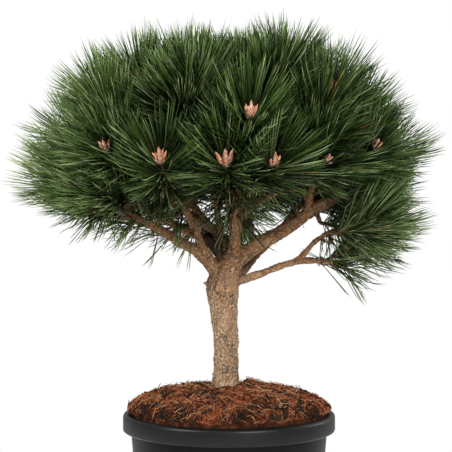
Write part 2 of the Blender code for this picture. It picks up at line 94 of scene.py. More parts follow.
# Boughs end on tiers of the crown, as in the part's source
Tier = namedtuple("Tier", "tip_reach tip_height end_climb site_reach site_height")
TIERS = {
    "low": Tier(0.150, 0.460, -28, 0.207, 0.518),
    "low_rising": Tier(0.140, 0.504, 32, 0.207, 0.518),
    "skirt": Tier(0.140, 0.532, 28, 0.196, 0.552),
    "shoulder": Tier(0.124, 0.574, 40, 0.180, 0.624),
    "upper": Tier(0.088, 0.624, 58, 0.138, 0.684),
    "top": Tier(0.034, 0.650, 80, 0.045, 0.722),
}
Bough = namedtuple(
    "Bough", "name tier heading parent share root_climb root_radius tip_radius lift", defaults=(0.0,)
)
BOUGHS = (
    Bough("left", "skirt", -66, "trunk", 0.70, 76, 0.0135, 0.0046, -0.006),
    Bough("right", "skirt", 88, "trunk", 0.870, 34, 0.0132, 0.0078, 0.016),
    Bough("front", "shoulder", 5, "trunk", 0.960, 86, 0.0100, 0.0060),
    Bough("low_right", "low", 92, "trunk", 0.710, 16, 0.0070, 0.0042),
    Bough("right_rear", "skirt", 127, "low_right", 0.10, 36, 0.0057, 0.0046, 0.014),
    Bough("front_left", "shoulder", -50, "left", 0.16, 62, 0.0072, 0.0046),
    Bough("right_fork", "shoulder", 78, "right", 0.80, 76, 0.0060, 0.0046),
    Bough("low_right_front", "low_rising", 76, "low_right", 0.66, 36, 0.0042, 0.0034),
    Bough("upper_left", "upper", -102, "trunk", 0.985, 16, 0.0074, 0.0042),
    Bough("upper_right_rear", "upper", 144, "trunk", 0.970, 70, 0.0070, 0.0042),
    Bough("left_rear", "skirt", -112, "trunk", 0.82, 72, 0.0094, 0.0046, 0.012),
    Bough("front_right", "shoulder", 40, "front", 0.30, 50, 0.0052, 0.0042),
    Bough("rear_left", "skirt", -153, "left_rear", 0.24, 40, 0.0054, 0.0042, 0.024),
    Bough("rear_right", "skirt", 168, "right_rear", 0.30, 40, 0.0046, 0.0040, 0.028),
    Bough("shoulder_left", "shoulder", -91, "upper_left", 0.26, 30, 0.0050, 0.0042),
    Bough("shoulder_rear_left", "shoulder", -136, "upper_left", 0.36, 35, 0.0048, 0.0042),
    Bough("shoulder_rear", "shoulder", 179, "upper_right_rear", 0.24, 40, 0.0050, 0.0042),
    Bough("shoulder_rear_right", "shoulder", 134, "upper_right_rear", 0.42, 40, 0.0048, 0.0042),
    Bough("upper_front", "upper", 20, "front", 0.52, 74, 0.0048, 0.0040),
    Bough("upper_front_left", "upper", -38, "front", 0.42, 66, 0.0048, 0.0040),
    Bough("upper_right", "upper", 84, "right_fork", 0.36, 76, 0.0046, 0.0040),
    Bough("upper_rear_left", "upper", -156, "upper_left", 0.50, 60, 0.0046, 0.0040),
    Bough("top_left", "top", -80, "upper_left", 0.15, 84, 0.0050, 0.0038),
    Bough("top_front", "top", 30, "front", 0.22, 88, 0.0050, 0.0038),
    Bough("top_rear", "top", 165, "upper_right_rear", 0.32, 84, 0.0046, 0.0038),
)
ROOT_PULL = 0.95
TIP_PULL = 0.70
WANDER = 0.022
WANDER_WAVES = 2.6
RADIUS_EASE = 0.55
LIMB_STEPS = 28

# Shoots ring the crown, as in the part's source: how many, the first heading, the arc that they
# fill, how far out and how high their buds stand, and how steeply they climb
Ring = namedtuple("Ring", "count first arc reach height climb")
RINGS = (
    Ring(5, 62, 60, 0.206, 0.512, 22),
    Ring(12, 82, 216, 0.210, 0.562, 12),
    Ring(15, -1, 360, 0.218, 0.612, 32),
    Ring(12, 9, 360, 0.188, 0.674, 50),
    Ring(9, 25, 360, 0.140, 0.712, 66),
    Ring(6, 5, 360, 0.082, 0.720, 78),
    Ring(2, 80, 360, 0.026, 0.714, 86),
)
REAR_LIFT = 0.012
LEFT_STRETCH = 0.045
SHOOT_JITTER = 0.006
TURN_JITTER = 5.0
STEM_SHARE = 0.30
LEAFY_LENGTH = 0.080
LEAFY_SHARE = 0.80

# Some shoots, by number, stand a little to one side, in millimetres, so that their buds show where
# the photo's do
BUD_SHIFTS = {
    0: (4, 0, 6), 1: (12, 0, 4), 2: (6, 0, 6), 4: (22, 0, 0), 5: (-16, 0, 0), 6: (-12, 0, 4),
    8: (12, 0, 12), 13: (20, 0, 16), 14: (-6, 0, 16), 15: (-26, 0, 7), 16: (26, 0, 0),
    17: (0, 0, -20.5), 18: (-25.5, -4, -17), 19: (-37, -10, -18), 20: (-5, -26, 6),
    21: (15, 0, 9), 28: (-3, 0, 33), 29: (-10, 0, -14), 30: (14, -6, -2), 31: (5.5, 0, -20.5),
    32: (0, -24, -24), 34: (-10, 0, -14), 41: (17, 0, 17), 42: (-18, 0, -6), 43: (4, 26, 0),
    44: (0, 0, 4), 45: (18, -34, -18), 46: (-8, 0, 2), 50: (-15, 0, -19), 51: (-3, 0, 3),
    52: (0, 0, -7), 53: (0, 0, -12), 54: (4, 0, 12), 58: (0, 0, 3), 59: (0, 0, -8), 60: (0, 0, -12),
}


def srgb(red, green, blue):
    """A display colour, 0 to 255, as the linear colour that a shader takes."""
    linear = [
        value / 255 / 12.92 if value <= 10.31475 else ((value / 255 + 0.055) / 1.055) ** 2.4
        for value in (red, green, blue)
    ]
    return (*linear, 1.0)


# Skeleton, by the rules of the part's source


def heading_vector(heading, climb=0.0):
    turn, rise = math.radians(heading), math.radians(climb)
    flat = math.cos(rise)
    return Vector((math.sin(turn) * flat, -math.cos(turn) * flat, math.sin(rise)))


def standing(heading, reach, height):
    """The point at that heading and distance from the pot's axis, at that height."""
    return heading_vector(heading) * reach + Vector((0, 0, height))


def hermite(start, start_pull, end, end_pull, share):
    s2, s3 = share * share, share**3
    return (
        start * (2 * s3 - 3 * s2 + 1)
        + start_pull * (s3 - 2 * s2 + share)
        + end * (3 * s2 - 2 * s3)
        + end_pull * (s3 - s2)
    )


Limb = namedtuple("Limb", "points radii")


def along(limb, share):
    """The point at a share of the limb's length."""
    steps = [there - here for here, there in zip(limb.points, limb.points[1:])]
    left = share * sum(step.length for step in steps)
    for here, step in zip(limb.points, steps):
        if left <= step.length:
            return here + step * (left / step.length)
        left -= step.length
    return limb.points[-1]


def trunk_limb():
    """The trunk's axis, eased through its stations."""
    points, radii = [], []
    last = len(TRUNK_STATIONS) - 1
    for ring in range(LIMB_STEPS + 1):
        place = ring / LIMB_STEPS * last
        low = min(int(place), last - 1)
        mix = place - low
        before = TRUNK_STATIONS[max(low - 1, 0)]
        here, there = TRUNK_STATIONS[low], TRUNK_STATIONS[low + 1]
        after = TRUNK_STATIONS[min(low + 2, last)]
        eased = [
            hermite(here[k], (there[k] - before[k]) / 2, there[k], (after[k] - here[k]) / 2, mix)
            for k in range(4)
        ]
        points.append(Vector((eased[1], eased[2], eased[0])))
        radii.append(eased[3])
    return Limb(points, radii)


def bough_limb(bough, parent):
    """A bough's axis: from inside its parent, in one sweep, to its tip on its tier."""
    tier = TIERS[bough.tier]
    rng = random.Random(SEED + bough.heading)
    root = along(parent, bough.share)
    tip = standing(bough.heading, tier.tip_reach, tier.tip_height + bough.lift)
    outward = tip - root
    facing = math.degrees(math.atan2(outward.x, -outward.y))
    length = outward.length
    start_pull = heading_vector(facing, bough.root_climb) * length * ROOT_PULL
    end_pull = heading_vector(bough.heading, tier.end_climb) * length * TIP_PULL
    sway = Vector([rng.uniform(-1, 1) for _ in range(3)]) * length * WANDER
    points, radii = [], []
    for ring in range(LIMB_STEPS + 1):
        share = ring / LIMB_STEPS
        eased = math.sin(math.pi * share) * math.sin(WANDER_WAVES * math.pi * share)
        points.append(hermite(root, start_pull, tip, end_pull, share) + sway * eased)
        thinner = bough.tip_radius - bough.root_radius
        radii.append(bough.root_radius + thinner * share**RADIUS_EASE)
    return Limb(points, radii)


def all_limbs():
    limbs = {"trunk": trunk_limb()}
    for bough in BOUGHS:
        limbs[bough.name] = bough_limb(bough, limbs[bough.parent])
    return limbs


# Most buds are small: some, by the shoot's number, are larger or smaller
BUD_SIZE = 0.72
BUD_SIZES = {
    0: 0, 1: 0, 2: 0, 17: 0.98, 18: 0.74, 19: 0.54, 20: 0.70, 30: 0.74,
    31: 0.86, 32: 0.84, 33: 0, 41: 0, 42: 0, 43: 0, 45: 0.62,
}
Shoot = namedtuple("Shoot", "bud direction size")


def all_shoots():
    """The shoots on their rings, each moved and turned a little."""
    rng = random.Random(SEED + 1)
    shoots = []
    for ring in RINGS:
        full = ring.arc >= 360
        for index in range(ring.count):
            heading = ring.first + ring.arc * index / (ring.count if full else ring.count - 1)
            lift = 0.0 if full else REAR_LIFT * max(0.0, -math.cos(math.radians(heading)) - 0.2)
            reach = ring.reach * (1 + LEFT_STRETCH * max(0.0, -math.sin(math.radians(heading))))
            bud = standing(heading, reach, ring.height + lift)
            bud += Vector([rng.uniform(-SHOOT_JITTER, SHOOT_JITTER) for _ in range(3)])
            bud += Vector(BUD_SHIFTS.get(len(shoots), (0, 0, 0))) / 1000
            turned = heading + rng.uniform(-TURN_JITTER, TURN_JITTER)
            climb = ring.climb + rng.uniform(-TURN_JITTER, TURN_JITTER)
            size = BUD_SIZES.get(len(shoots), BUD_SIZE)
            shoots.append(Shoot(bud, heading_vector(turned, climb), size))
    return shoots


def carried_shoots():
    """The shoots of each bough: those nearest to the middle of its foliage."""
    sites = {}
    for bough in BOUGHS:
        tier = TIERS[bough.tier]
        sites[bough.name] = standing(bough.heading, tier.site_reach, tier.site_height)
    carried = {bough.name: [] for bough in BOUGHS}
    for shoot in all_shoots():
        nearest = min(sites, key=lambda name: (sites[name] - shoot.bud).length)
        carried[nearest].append(shoot)
    return carried


def side_vectors(points):
    """Two unit vectors across each point's direction, carried along so that a tube doesn't twist."""
    frames = []
    across = None
    for index in range(len(points)):
        ahead = points[min(index + 1, len(points) - 1)]
        behind = points[max(index - 1, 0)]
        direction = (ahead - behind).normalized()
        if across is None:
            guide = Vector((0, 1, 0)) if abs(direction.y) < 0.9 else Vector((1, 0, 0))
            across = guide.cross(direction).normalized()
        across = (across - direction * across.dot(direction)).normalized()
        frames.append((across, direction.cross(across)))
    return frames


# Meshes from arrays


def placed(name, data):
    """A new object of that data, in the scene."""
    obj = bpy.data.objects.new(name, data)
    bpy.context.scene.collection.objects.link(obj)
    return obj


def piece(name, vertices, face_sets, finish, smooth=True):
    """A piece of the plant from vertices (n, 3) and sets of faces, each (m, corners)."""
    mesh = bpy.data.meshes.new(name)
    mesh.vertices.add(len(vertices))
    mesh.vertices.foreach_set("co", np.asarray(vertices, np.float32).ravel())
    corners = np.concatenate([np.asarray(faces, np.int32).ravel() for faces in face_sets])
    sizes = np.concatenate([np.full(len(faces), np.shape(faces)[1]) for faces in face_sets])
    mesh.loops.add(len(corners))
    mesh.loops.foreach_set("vertex_index", corners)
    mesh.polygons.add(len(sizes))
    starts = np.concatenate([[0], np.cumsum(sizes)[:-1]])
    mesh.polygons.foreach_set("loop_start", starts.astype(np.int32))
    mesh.update(calc_edges=True)
    mesh.validate()
    if smooth:
        mesh.shade_smooth()
    mesh.materials.append(finish)
    obj = placed(name, mesh)
    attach(obj, "root")
    return obj


def apply_modifiers(obj):
    """Gives the object the mesh that its modifiers make, and takes them off."""
    graph = bpy.context.evaluated_depsgraph_get()
    mesh = bpy.data.meshes.new_from_object(obj.evaluated_get(graph))
    obj.modifiers.clear()
    obj.data = mesh


class Heap:
    """Vertices and faces that add up to one joined mesh."""

    def __init__(self):
        self.vertices = []
        self.quads = []
        self.triangles = []
        self.count = 0

    def add(self, vertices, quads, triangles=()):
        self.vertices.append(np.asarray(vertices, float).reshape(-1, 3))
        if len(quads):
            self.quads.append(np.asarray(quads, int) + self.count)
        if len(triangles):
            self.triangles.append(np.asarray(triangles, int) + self.count)
        self.count += len(self.vertices[-1])

    def made(self, name, finish, slot, smooth=True):
        sets = [np.concatenate(faces) for faces in (self.quads, self.triangles) if faces]
        return piece(name, np.concatenate(self.vertices), sets, finish, smooth)


def tube_faces(rings, sides):
    """Quads of a tube's wall and triangles of its two caps, fanned from an end point each."""
    quads = [
        (
            ring * sides + side,
            ring * sides + (side + 1) % sides,
            (ring + 1) * sides + (side + 1) % sides,
            (ring + 1) * sides + side,
        )
        for ring in range(rings - 1)
        for side in range(sides)
    ]
    last = (rings - 1) * sides
    foot, top = rings * sides, rings * sides + 1
    triangles = [(foot, (side + 1) % sides, side) for side in range(sides)]
    triangles += [(top, last + side, last + (side + 1) % sides) for side in range(sides)]
    return quads, triangles


def add_tube(heap, points, radii, sides, roughen=None):
    """A closed tube along points. roughen(ring, side) gives a share of the radius to add."""
    vertices = []
    frames = side_vectors(points)
    for ring, (point, radius) in enumerate(zip(points, radii)):
        first, second = frames[ring]
        for side in range(sides):
            turn = 2 * math.pi * side / sides
            wide = radius * (1 + (roughen(ring, side) if roughen else 0))
            vertices.append(point + (first * math.cos(turn) + second * math.sin(turn)) * wide)
    vertices += [points[0], points[-1]]
    heap.add([tuple(vertex) for vertex in vertices], *tube_faces(len(points), sides))


def resampled(points, radii, step):
    """The line's points and radii at even distances of about a step."""
    line = np.array([tuple(point) for point in points])
    reach = np.concatenate([[0], np.cumsum(np.linalg.norm(np.diff(line, axis=0), axis=1))])
    stops = np.linspace(0, reach[-1], max(3, round(reach[-1] / step) + 1))
    spaced = [Vector([np.interp(stop, reach, line[:, k]) for k in range(3)]) for stop in stops]
    return spaced, list(np.interp(stops, reach, radii))


# Shader nodes


class Shader:
    """A material whose nodes are made by short calls."""

    def __init__(self, name, roughness, specular):
        self.material = bpy.data.materials.new(name)
        self.material.use_nodes = True
        self.surface = self.material.node_tree.nodes["Principled BSDF"]
        self.fill(self.surface, {"Roughness": roughness, "Specular IOR Level": specular})
        self.place = self.made("ShaderNodeTexCoord", {}).outputs["Object"]

    def fill(self, node, inputs):
        """Sets a node's inputs, by name or number, to values, or links them to sockets."""
        for name, value in inputs.items():
            if isinstance(value, bpy.types.NodeSocket):
                self.material.node_tree.links.new(value, node.inputs[name])
            else:
                node.inputs[name].default_value = value

    def made(self, kind, inputs):
        node = self.material.node_tree.nodes.new(kind)
        self.fill(node, inputs)
        return node

    def stretched(self, scale, location=(0.0, 0.0, 0.0)):
        """Object coordinates scaled along each axis, then moved."""
        inputs = {"Vector": self.place, "Location": location, "Scale": scale}
        return self.made("ShaderNodeMapping", inputs).outputs["Vector"]

    def noise(self, scale, detail=4.0, roughness=0.6, vector=None):
        inputs = {"Vector": vector or self.place, "Scale": scale}
        inputs.update({"Detail": detail, "Roughness": roughness})
        return self.made("ShaderNodeTexNoise", inputs).outputs["Fac"]

    def cells(self, scale, feature="F1", vector=None):
        node = self.made("ShaderNodeTexVoronoi", {"Vector": vector or self.place, "Scale": scale})
        node.feature = feature
        return node.outputs["Distance"]

    def geometry(self, name):
        """Random Per Island is one number from 0 to 1 all over a needle or scrap. Pointiness is about
        0.5 on the flat, less in hollows and more on edges."""
        return self.made("ShaderNodeNewGeometry", {}).outputs[name]

    def height(self, low, high):
        """0 at the low height to 1 at the high one."""
        split = self.made("ShaderNodeSeparateXYZ", {"Vector": self.place})
        return self.ranged(split.outputs["Z"], low, high)

    def length(self, vector):
        node = self.made("ShaderNodeVectorMath", {0: vector})
        node.operation = "LENGTH"
        return node.outputs["Value"]

    def inset(self, middle, reach):
        """0 at the middle of an egg shape to 1 at its surface."""
        location = [-at / far for at, far in zip(middle, reach)]
        return self.length(self.stretched([1 / far for far in reach], location))

    def ranged(self, value, low, high, to_low=0.0, to_high=1.0):
        inputs = {"Value": value, "From Min": low, "From Max": high, "To Min": to_low, "To Max": to_high}
        return self.made("ShaderNodeMapRange", inputs).outputs["Result"]

    def ramp(self, value, *stops):
        """Colours (or greys) at positions along a value: (position, colour)."""
        node = self.made("ShaderNodeValToRGB", {"Fac": value})
        elements = node.color_ramp.elements
        while len(elements) < len(stops):
            elements.new(0.5)
        for element, (position, colour) in zip(elements, stops):
            element.position = position
            element.color = colour
        return node.outputs["Color"]

    def mixed(self, share, first, second, blend="MIX"):
        """Two colours mixed. A share, first or second may be a fixed value or a socket."""
        node = self.made("ShaderNodeMix", {})
        node.data_type = "RGBA"
        node.blend_type = blend
        self.fill(node, {0: share, 6: first, 7: second})
        return node.outputs[2]

    def stained(self, where, share, colour, tone):
        """The colour, with up to that share of the tone where a value nears 1."""
        return self.mixed(self.ranged(where, 0, 1, 0, share), colour, tone)

    def colour(self, value):
        self.fill(self.surface, {"Base Color": value})

    def bump(self, value, distance, strength=1.0):
        """Relief on top of any earlier relief."""
        node = self.made("ShaderNodeBump", {"Height": value, "Distance": distance, "Strength": strength})
        for earlier in self.surface.inputs["Normal"].links:
            self.fill(node, {"Normal": earlier.from_socket})
        self.fill(self.surface, {"Normal": node.outputs["Normal"]})


BLACK = (0.0, 0.0, 0.0, 1.0)
WHITE = (1.0, 1.0, 1.0, 1.0)

# The crown is roughly an egg shape: painted shade darkens the needles towards its middle
CROWN_SHADE_MIDDLE = (0.0, 0.0, 0.630)
CROWN_SHADE_REACH = (0.300, 0.290, 0.168)

# Painted shade darkens the bark deep in the crotch, where the limbs behind the fork lie in the crown's
# shadow
CROTCH_SHADE_MIDDLE = (-0.002, 0.020, 0.486)
CROTCH_SHADE_REACH = (0.056, 0.034, 0.062)


def bark_finish():
    """Grey-tan flaky bark on the trunk, browner on the boughs, with dark pits, pale flakes and painted
    shade: darker high on the boughs, in the crotch and in the cracks.
    """
    bark = Shader("bark_finish", roughness=0.85, specular=0.25)
    upright = bark.stretched((1.0, 1.0, 0.7))
    broad = bark.noise(34, detail=3, vector=upright)
    grain = bark.noise(430, detail=5, roughness=0.7, vector=upright)
    trunk = bark.ramp(
        broad, (0.34, srgb(122, 110, 90)), (0.48, srgb(182, 146, 112)), (0.66, srgb(178, 152, 126))
    )
    boughs = bark.ramp(
        broad, (0.30, srgb(92, 64, 42)), (0.50, srgb(152, 112, 76)), (0.72, srgb(124, 92, 64))
    )
    colour = bark.mixed(bark.height(0.405, 0.480), trunk, boughs)
    # Painted shade: the boughs darken higher up, under and inside the crown, as if in its shadow
    colour = bark.stained(bark.height(0.500, 0.570), 0.45, colour, srgb(64, 44, 28))
    rust = bark.ramp(bark.noise(150, detail=3), (0.50, BLACK), (0.62, WHITE))
    rust = bark.mixed(bark.height(0.380, 0.470), bark.ranged(rust, 0, 1, 0, 0.22), rust)
    colour = bark.stained(rust, 0.50, colour, srgb(172, 108, 62))
    flakes = bark.ramp(grain, (0.41, WHITE), (0.55, BLACK))
    worn = bark.ramp(bark.noise(46, detail=2), (0.36, srgb(90, 90, 90)), (0.62, WHITE))
    flakes = bark.mixed(0.85, flakes, worn, "MULTIPLY")
    colour = bark.stained(flakes, 0.80, colour, srgb(70, 48, 34))
    pale = bark.ramp(bark.noise(300, detail=3), (0.53, BLACK), (0.64, WHITE))
    pale = bark.mixed(bark.height(0.400, 0.500), pale, bark.ranged(pale, 0, 1, 0, 0.5))
    colour = bark.stained(pale, 0.60, colour, srgb(222, 194, 160))
    # Painted shade deep in the crotch, behind the fork
    crotch_shade = bark.ramp(bark.inset(CROTCH_SHADE_MIDDLE, CROTCH_SHADE_REACH), (0.72, WHITE), (1.0, BLACK))
    colour = bark.stained(crotch_shade, 0.88, colour, srgb(36, 24, 16))
    # Painted shade in the cracks: the bark darkens where its skin is hollow
    hollow_shade = bark.ramp(bark.geometry("Pointiness"), (0.43, WHITE), (0.505, BLACK))
    bark.colour(bark.mixed(hollow_shade, colour, srgb(58, 40, 29)))
    bark.bump(bark.cells(300, feature="F2", vector=upright), 0.0010, 0.9)
    bark.bump(grain, 0.0016)
    return bark.material


def twig_finish():
    twig = Shader("twig_finish", roughness=0.8, specular=0.25)
    stops = ((0.3, srgb(52, 36, 26)), (0.55, srgb(104, 78, 56)), (0.75, srgb(150, 124, 98)))
    twig.colour(twig.ramp(twig.noise(240, detail=3), *stops))
    twig.bump(twig.noise(900, detail=2), 0.0004)
    return twig.material


def needle_finish(name, dark, light):
    """A needle's green, a little different on each needle, with a waxy gloss, and painted shade
    darkening it towards the crown's middle.
    """
    needle = Shader(name, roughness=0.46, specular=0.12)
    tone = needle.mixed(needle.geometry("Random Per Island"), dark, light)
    patch = needle.ranged(needle.noise(90, detail=1), 0.3, 0.7, 0.0, 0.5)
    tone = needle.mixed(patch, tone, dark)
    # Painted shade: the needles darken towards the crown's middle, as if shadowed by the needles round
    # them
    depth = needle.ramp(needle.inset(CROWN_SHADE_MIDDLE, CROWN_SHADE_REACH), (0.54, WHITE), (0.94, BLACK))
    needle.colour(needle.stained(depth, 0.84, tone, srgb(13, 22, 6)))
    return needle.material


def candle_finish():
    candle = Shader("candle_finish", roughness=0.6, specular=0.3)
    stops = ((0.35, srgb(176, 100, 66)), (0.50, srgb(216, 148, 112)), (0.64, srgb(242, 216, 192)))
    candle.colour(candle.ramp(candle.noise(420, detail=2), *stops))
    candle.bump(candle.cells(900), 0.0003)
    return candle.material


def scale_finish():
    scale = Shader("scale_finish", roughness=0.75, specular=0.25)
    stops = ((0.34, srgb(120, 92, 70)), (0.52, srgb(196, 172, 146)), (0.7, srgb(228, 214, 196)))
    scale.colour(scale.ramp(scale.noise(380, detail=2), *stops))
    scale.bump(scale.noise(1200, detail=2), 0.0002)
    return scale.material


def soil_finish():
    """Damp peat and fibre: red-brown, made near black in the hollows and by the rim by painted shade."""
    soil = Shader("soil_finish", roughness=0.95, specular=0.15)
    stops = ((0.34, srgb(20, 11, 7)), (0.48, srgb(64, 33, 19)), (0.64, srgb(128, 68, 38)))
    tone = soil.ramp(soil.noise(95, detail=6, roughness=0.7), *stops)
    # Painted shade by the rim: the soil darkens towards the pot's wall, as if shaded by the rim
    rim = soil.ranged(soil.length(soil.stretched((1.0, 1.0, 0.0))), 0.122, 0.140, 0.0, 0.5)
    tone = soil.mixed(rim, tone, srgb(34, 23, 17))
    # Painted shade in the hollows of the mound
    hollow_shade = soil.ramp(soil.geometry("Pointiness"), (0.40, WHITE), (0.50, BLACK))
    soil.colour(soil.mixed(hollow_shade, tone, srgb(16, 10, 8)))
    soil.bump(soil.noise(520, detail=5, roughness=0.7), 0.0025)
    return soil.material


def fibre_finish(name, dark, light):
    fibre = Shader(name, roughness=0.8, specular=0.2)
    fibre.colour(fibre.mixed(fibre.geometry("Random Per Island"), dark, light))
    fibre.bump(fibre.noise(1500, detail=1), 0.0002)
    return fibre.material


def pot_finish():
    """Black moulded polypropylene, satin, with faint handling marks and dust."""
    pot = Shader("pot_finish", roughness=0.42, specular=0.20)
    rim = pot.height(POT_HEIGHT - RIM_SKIRT - 0.003, POT_HEIGHT - RIM_SKIRT + 0.001)
    drift = pot.noise(14, detail=5)
    scuffs = pot.noise(55, detail=6, roughness=0.75, vector=pot.stretched((1.0, 1.0, 3.5)))
    tone = pot.ramp(drift, (0.30, srgb(10, 11, 11)), (0.70, srgb(17, 18, 18)))
    dust = pot.ramp(scuffs, (0.58, BLACK), (0.80, WHITE))
    pot.colour(pot.stained(dust, 0.07, tone, srgb(112, 104, 96)))
    gloss = {
        "Specular IOR Level": pot.ranged(rim, 0, 1, 0.09, 0.28),
        "Roughness": pot.ranged(scuffs, 0, 1, 0.28, 0.46),
    }
    pot.fill(pot.surface, gloss)
    pot.bump(pot.noise(700, detail=2), 0.00012, 0.5)
    return pot.material


def floor_finish():
    floor = Shader("floor_finish", roughness=0.7, specular=0.2)
    stops = ((0.3, srgb(240, 240, 239)), (0.7, srgb(246, 246, 245)))
    floor.colour(floor.ramp(floor.noise(3, detail=2), *stops))
    return floor.material


# Bark: the limbs' tubes fused into one skin, rounded where they join, then given its relief
BARK_VOXEL = 0.0014
BARK_SIDES = 16
BARK_SMOOTHING = 7
SNAG_SIDES = 8
COLLAR_SWELL = 0.30
COLLAR_LENGTH = 0.016
TRUNK_FLUTES = 5
TRUNK_FLUTE_DEPTH = 0.035
FLUTE_TWIST = 0.3
PLATE_SIZE = 0.0046
PLATE_CRACK = 0.35
PLATE_STRETCH = 0.75
PLATE_DEPTH = 0.0017
# Wrinkles and grain: the scale and the depth of each
WRINKLES = (90, 0.0020)
GRAIN = (420, 0.00045)
HEAVY_LIMB = 0.014
GROOVED_FRONT = -0.004

# Grooves cut in the front of the bark: points (x, z) along each, how wide and how deep
GROOVES = (
    (((-0.0085, 0.468), (-0.0150, 0.450), (-0.0200, 0.427)), 0.0028, 0.0040),
    (((-0.0185, 0.421), (-0.0040, 0.413), (0.0115, 0.419)), 0.0016, 0.0018),
    (((-0.0130, 0.357), (-0.0005, 0.3575)), 0.0011, 0.0018),
    (((0.0040, 0.398), (0.0150, 0.404)), 0.0010, 0.0012),
)

# Snags are the stubs of lost twigs. The profile gives their radius at shares of their length, and
# each has its foot, its heading and climb, and its length
SNAG_PROFILE = ((-0.6, 0.0036), (0.0, 0.0030), (0.5, 0.0020), (1.0, 0.0012))
SNAGS = (
    ((-0.0300, -0.004, 0.4315), (-86, 12), 0.0075),
    ((-0.0210, -0.004, 0.3035), (-88, 20), 0.0050),
)


def limb_lengths(limb):
    """The distance from the limb's root to each of its points."""
    reach = [0.0]
    for here, there in zip(limb.points, limb.points[1:]):
        reach.append(reach[-1] + (there - here).length)
    return reach


def flute(ring, side):
    """The trunk's shallow flutes, as a share of its radius."""
    turn = TRUNK_FLUTES * 2 * math.pi * side / BARK_SIDES
    return TRUNK_FLUTE_DEPTH * math.sin(turn + ring * FLUTE_TWIST)


def bark_skin():
    """One closed mesh round every limb, before its relief."""
    heap = Heap()
    for name, limb in LIMBS.items():
        swell, roughen = (0, flute) if name == "trunk" else (COLLAR_SWELL, None)
        radii = [
            radius * (1 + swell * math.exp(-reach / COLLAR_LENGTH))
            for radius, reach in zip(limb.radii, limb_lengths(limb))
        ]
        add_tube(heap, limb.points, radii, BARK_SIDES, roughen)
    for foot, (heading, climb), length in SNAGS:
        way = heading_vector(heading, climb) * length
        points = [Vector(foot) + way * share for share, _ in SNAG_PROFILE]
        add_tube(heap, points, [radius for _, radius in SNAG_PROFILE], SNAG_SIDES)
    skin = heap.made("limb_bark", bark_finish(), "bark")
    remesh = skin.modifiers.new("one_skin", "REMESH")
    remesh.mode = "VOXEL"
    remesh.voxel_size = BARK_VOXEL
    ease = skin.modifiers.new("ease", "SMOOTH")
    ease.factor = 0.5
    ease.iterations = BARK_SMOOTHING
    apply_modifiers(skin)
    return skin


def limb_tree():
    """A search tree over points along the limbs, and each point's limb, reach, radius and frame."""
    stations = []
    for number, limb in enumerate(LIMBS.values()):
        frames = side_vectors(limb.points)
        for place in range(len(limb.points)):
            reach = limb_lengths(limb)[place]
            stations.append((limb.points[place], number, reach, limb.radii[place], frames[place]))
    tree = kdtree.KDTree(len(stations))
    for index, station in enumerate(stations):
        tree.insert(station[0], index)
    tree.balance()
    return tree, stations


def plate_relief(local):
    """Height of the bark's plates over the cracks between them, at a place in a limb's own space."""
    distances, _ = noise.voronoi(local / PLATE_SIZE)
    crack = min(1.0, (distances[1] - distances[0]) / PLATE_CRACK)
    return crack * (2 - crack)


def cut_grooves(points):
    """Presses the grooves into the front of the skin's points (n, 3), in place."""
    front = points[:, 1] < GROOVED_FRONT
    for line, width, depth in GROOVES:
        nearest = np.full(len(points), np.inf)
        for here, there in zip(line, line[1:]):
            here, step = np.array(here), np.array(there) - np.array(here)
            offset = points[:, (0, 2)] - here
            share = np.clip(offset @ step / (step @ step), 0, 1)
            nearest = np.minimum(nearest, np.linalg.norm(offset - share[:, None] * step, axis=1))
        points[front, 1] += (depth * np.exp(-((nearest / width) ** 2)))[front]


def make_bark():
    """The limbs' skin, moved along its normals by plates, wrinkles and grain."""
    skin = bark_skin()
    mesh = skin.data
    tree, stations = TREE
    moved = np.zeros((len(mesh.vertices), 3))
    for index, vertex in enumerate(mesh.vertices):
        _, found, _ = tree.find(vertex.co)
        axis, number, reach, radius, (first, second) = stations[found]
        offset = vertex.co - axis
        onward = (reach + offset.dot(first.cross(second))) * PLATE_STRETCH + number * 0.3
        local = Vector((offset.dot(first), offset.dot(second), onward))
        heavy = min(1.0, radius / HEAVY_LIMB)
        lift = (plate_relief(local) - 0.75) * PLATE_DEPTH * (0.6 + 0.4 * heavy)
        lift += noise.noise(local * WRINKLES[0]) * WRINKLES[1] * (0.4 + 0.6 * heavy)
        lift += noise.noise(local * GRAIN[0]) * GRAIN[1]
        moved[index] = vertex.co + vertex.normal * lift
    cut_grooves(moved)
    mesh.vertices.foreach_set("co", moved.ravel().astype(np.float32))
    mesh.update()
    mesh.shade_smooth()
    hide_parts("trunk", *[f"bough_{bough.name}" for bough in BOUGHS])


# Twigs: each bough grows on as a stem that forks to its shoots, and each shoot has side shoots
TWIG_RADIUS = 0.0030
LEAFY_RADIUS = 0.0022
TWIG_STEP = 0.0025
TWIG_SIDES = 7
SCALE_SWELL = 0.20
SCALE_ROUGHNESS = 0.12
STEM_SINK = 0.006
STEM_THINNING = 0.06
SIDE_TURN = 0.9
SIDE_UP = 0.15
SIDE_SHOOTS = {"top": 2}
SIDE_LENGTH = 0.070
TIP_TURN_UP = 0.30
TWIG_PULL = 0.60
LOW_FULLNESS = 0.47

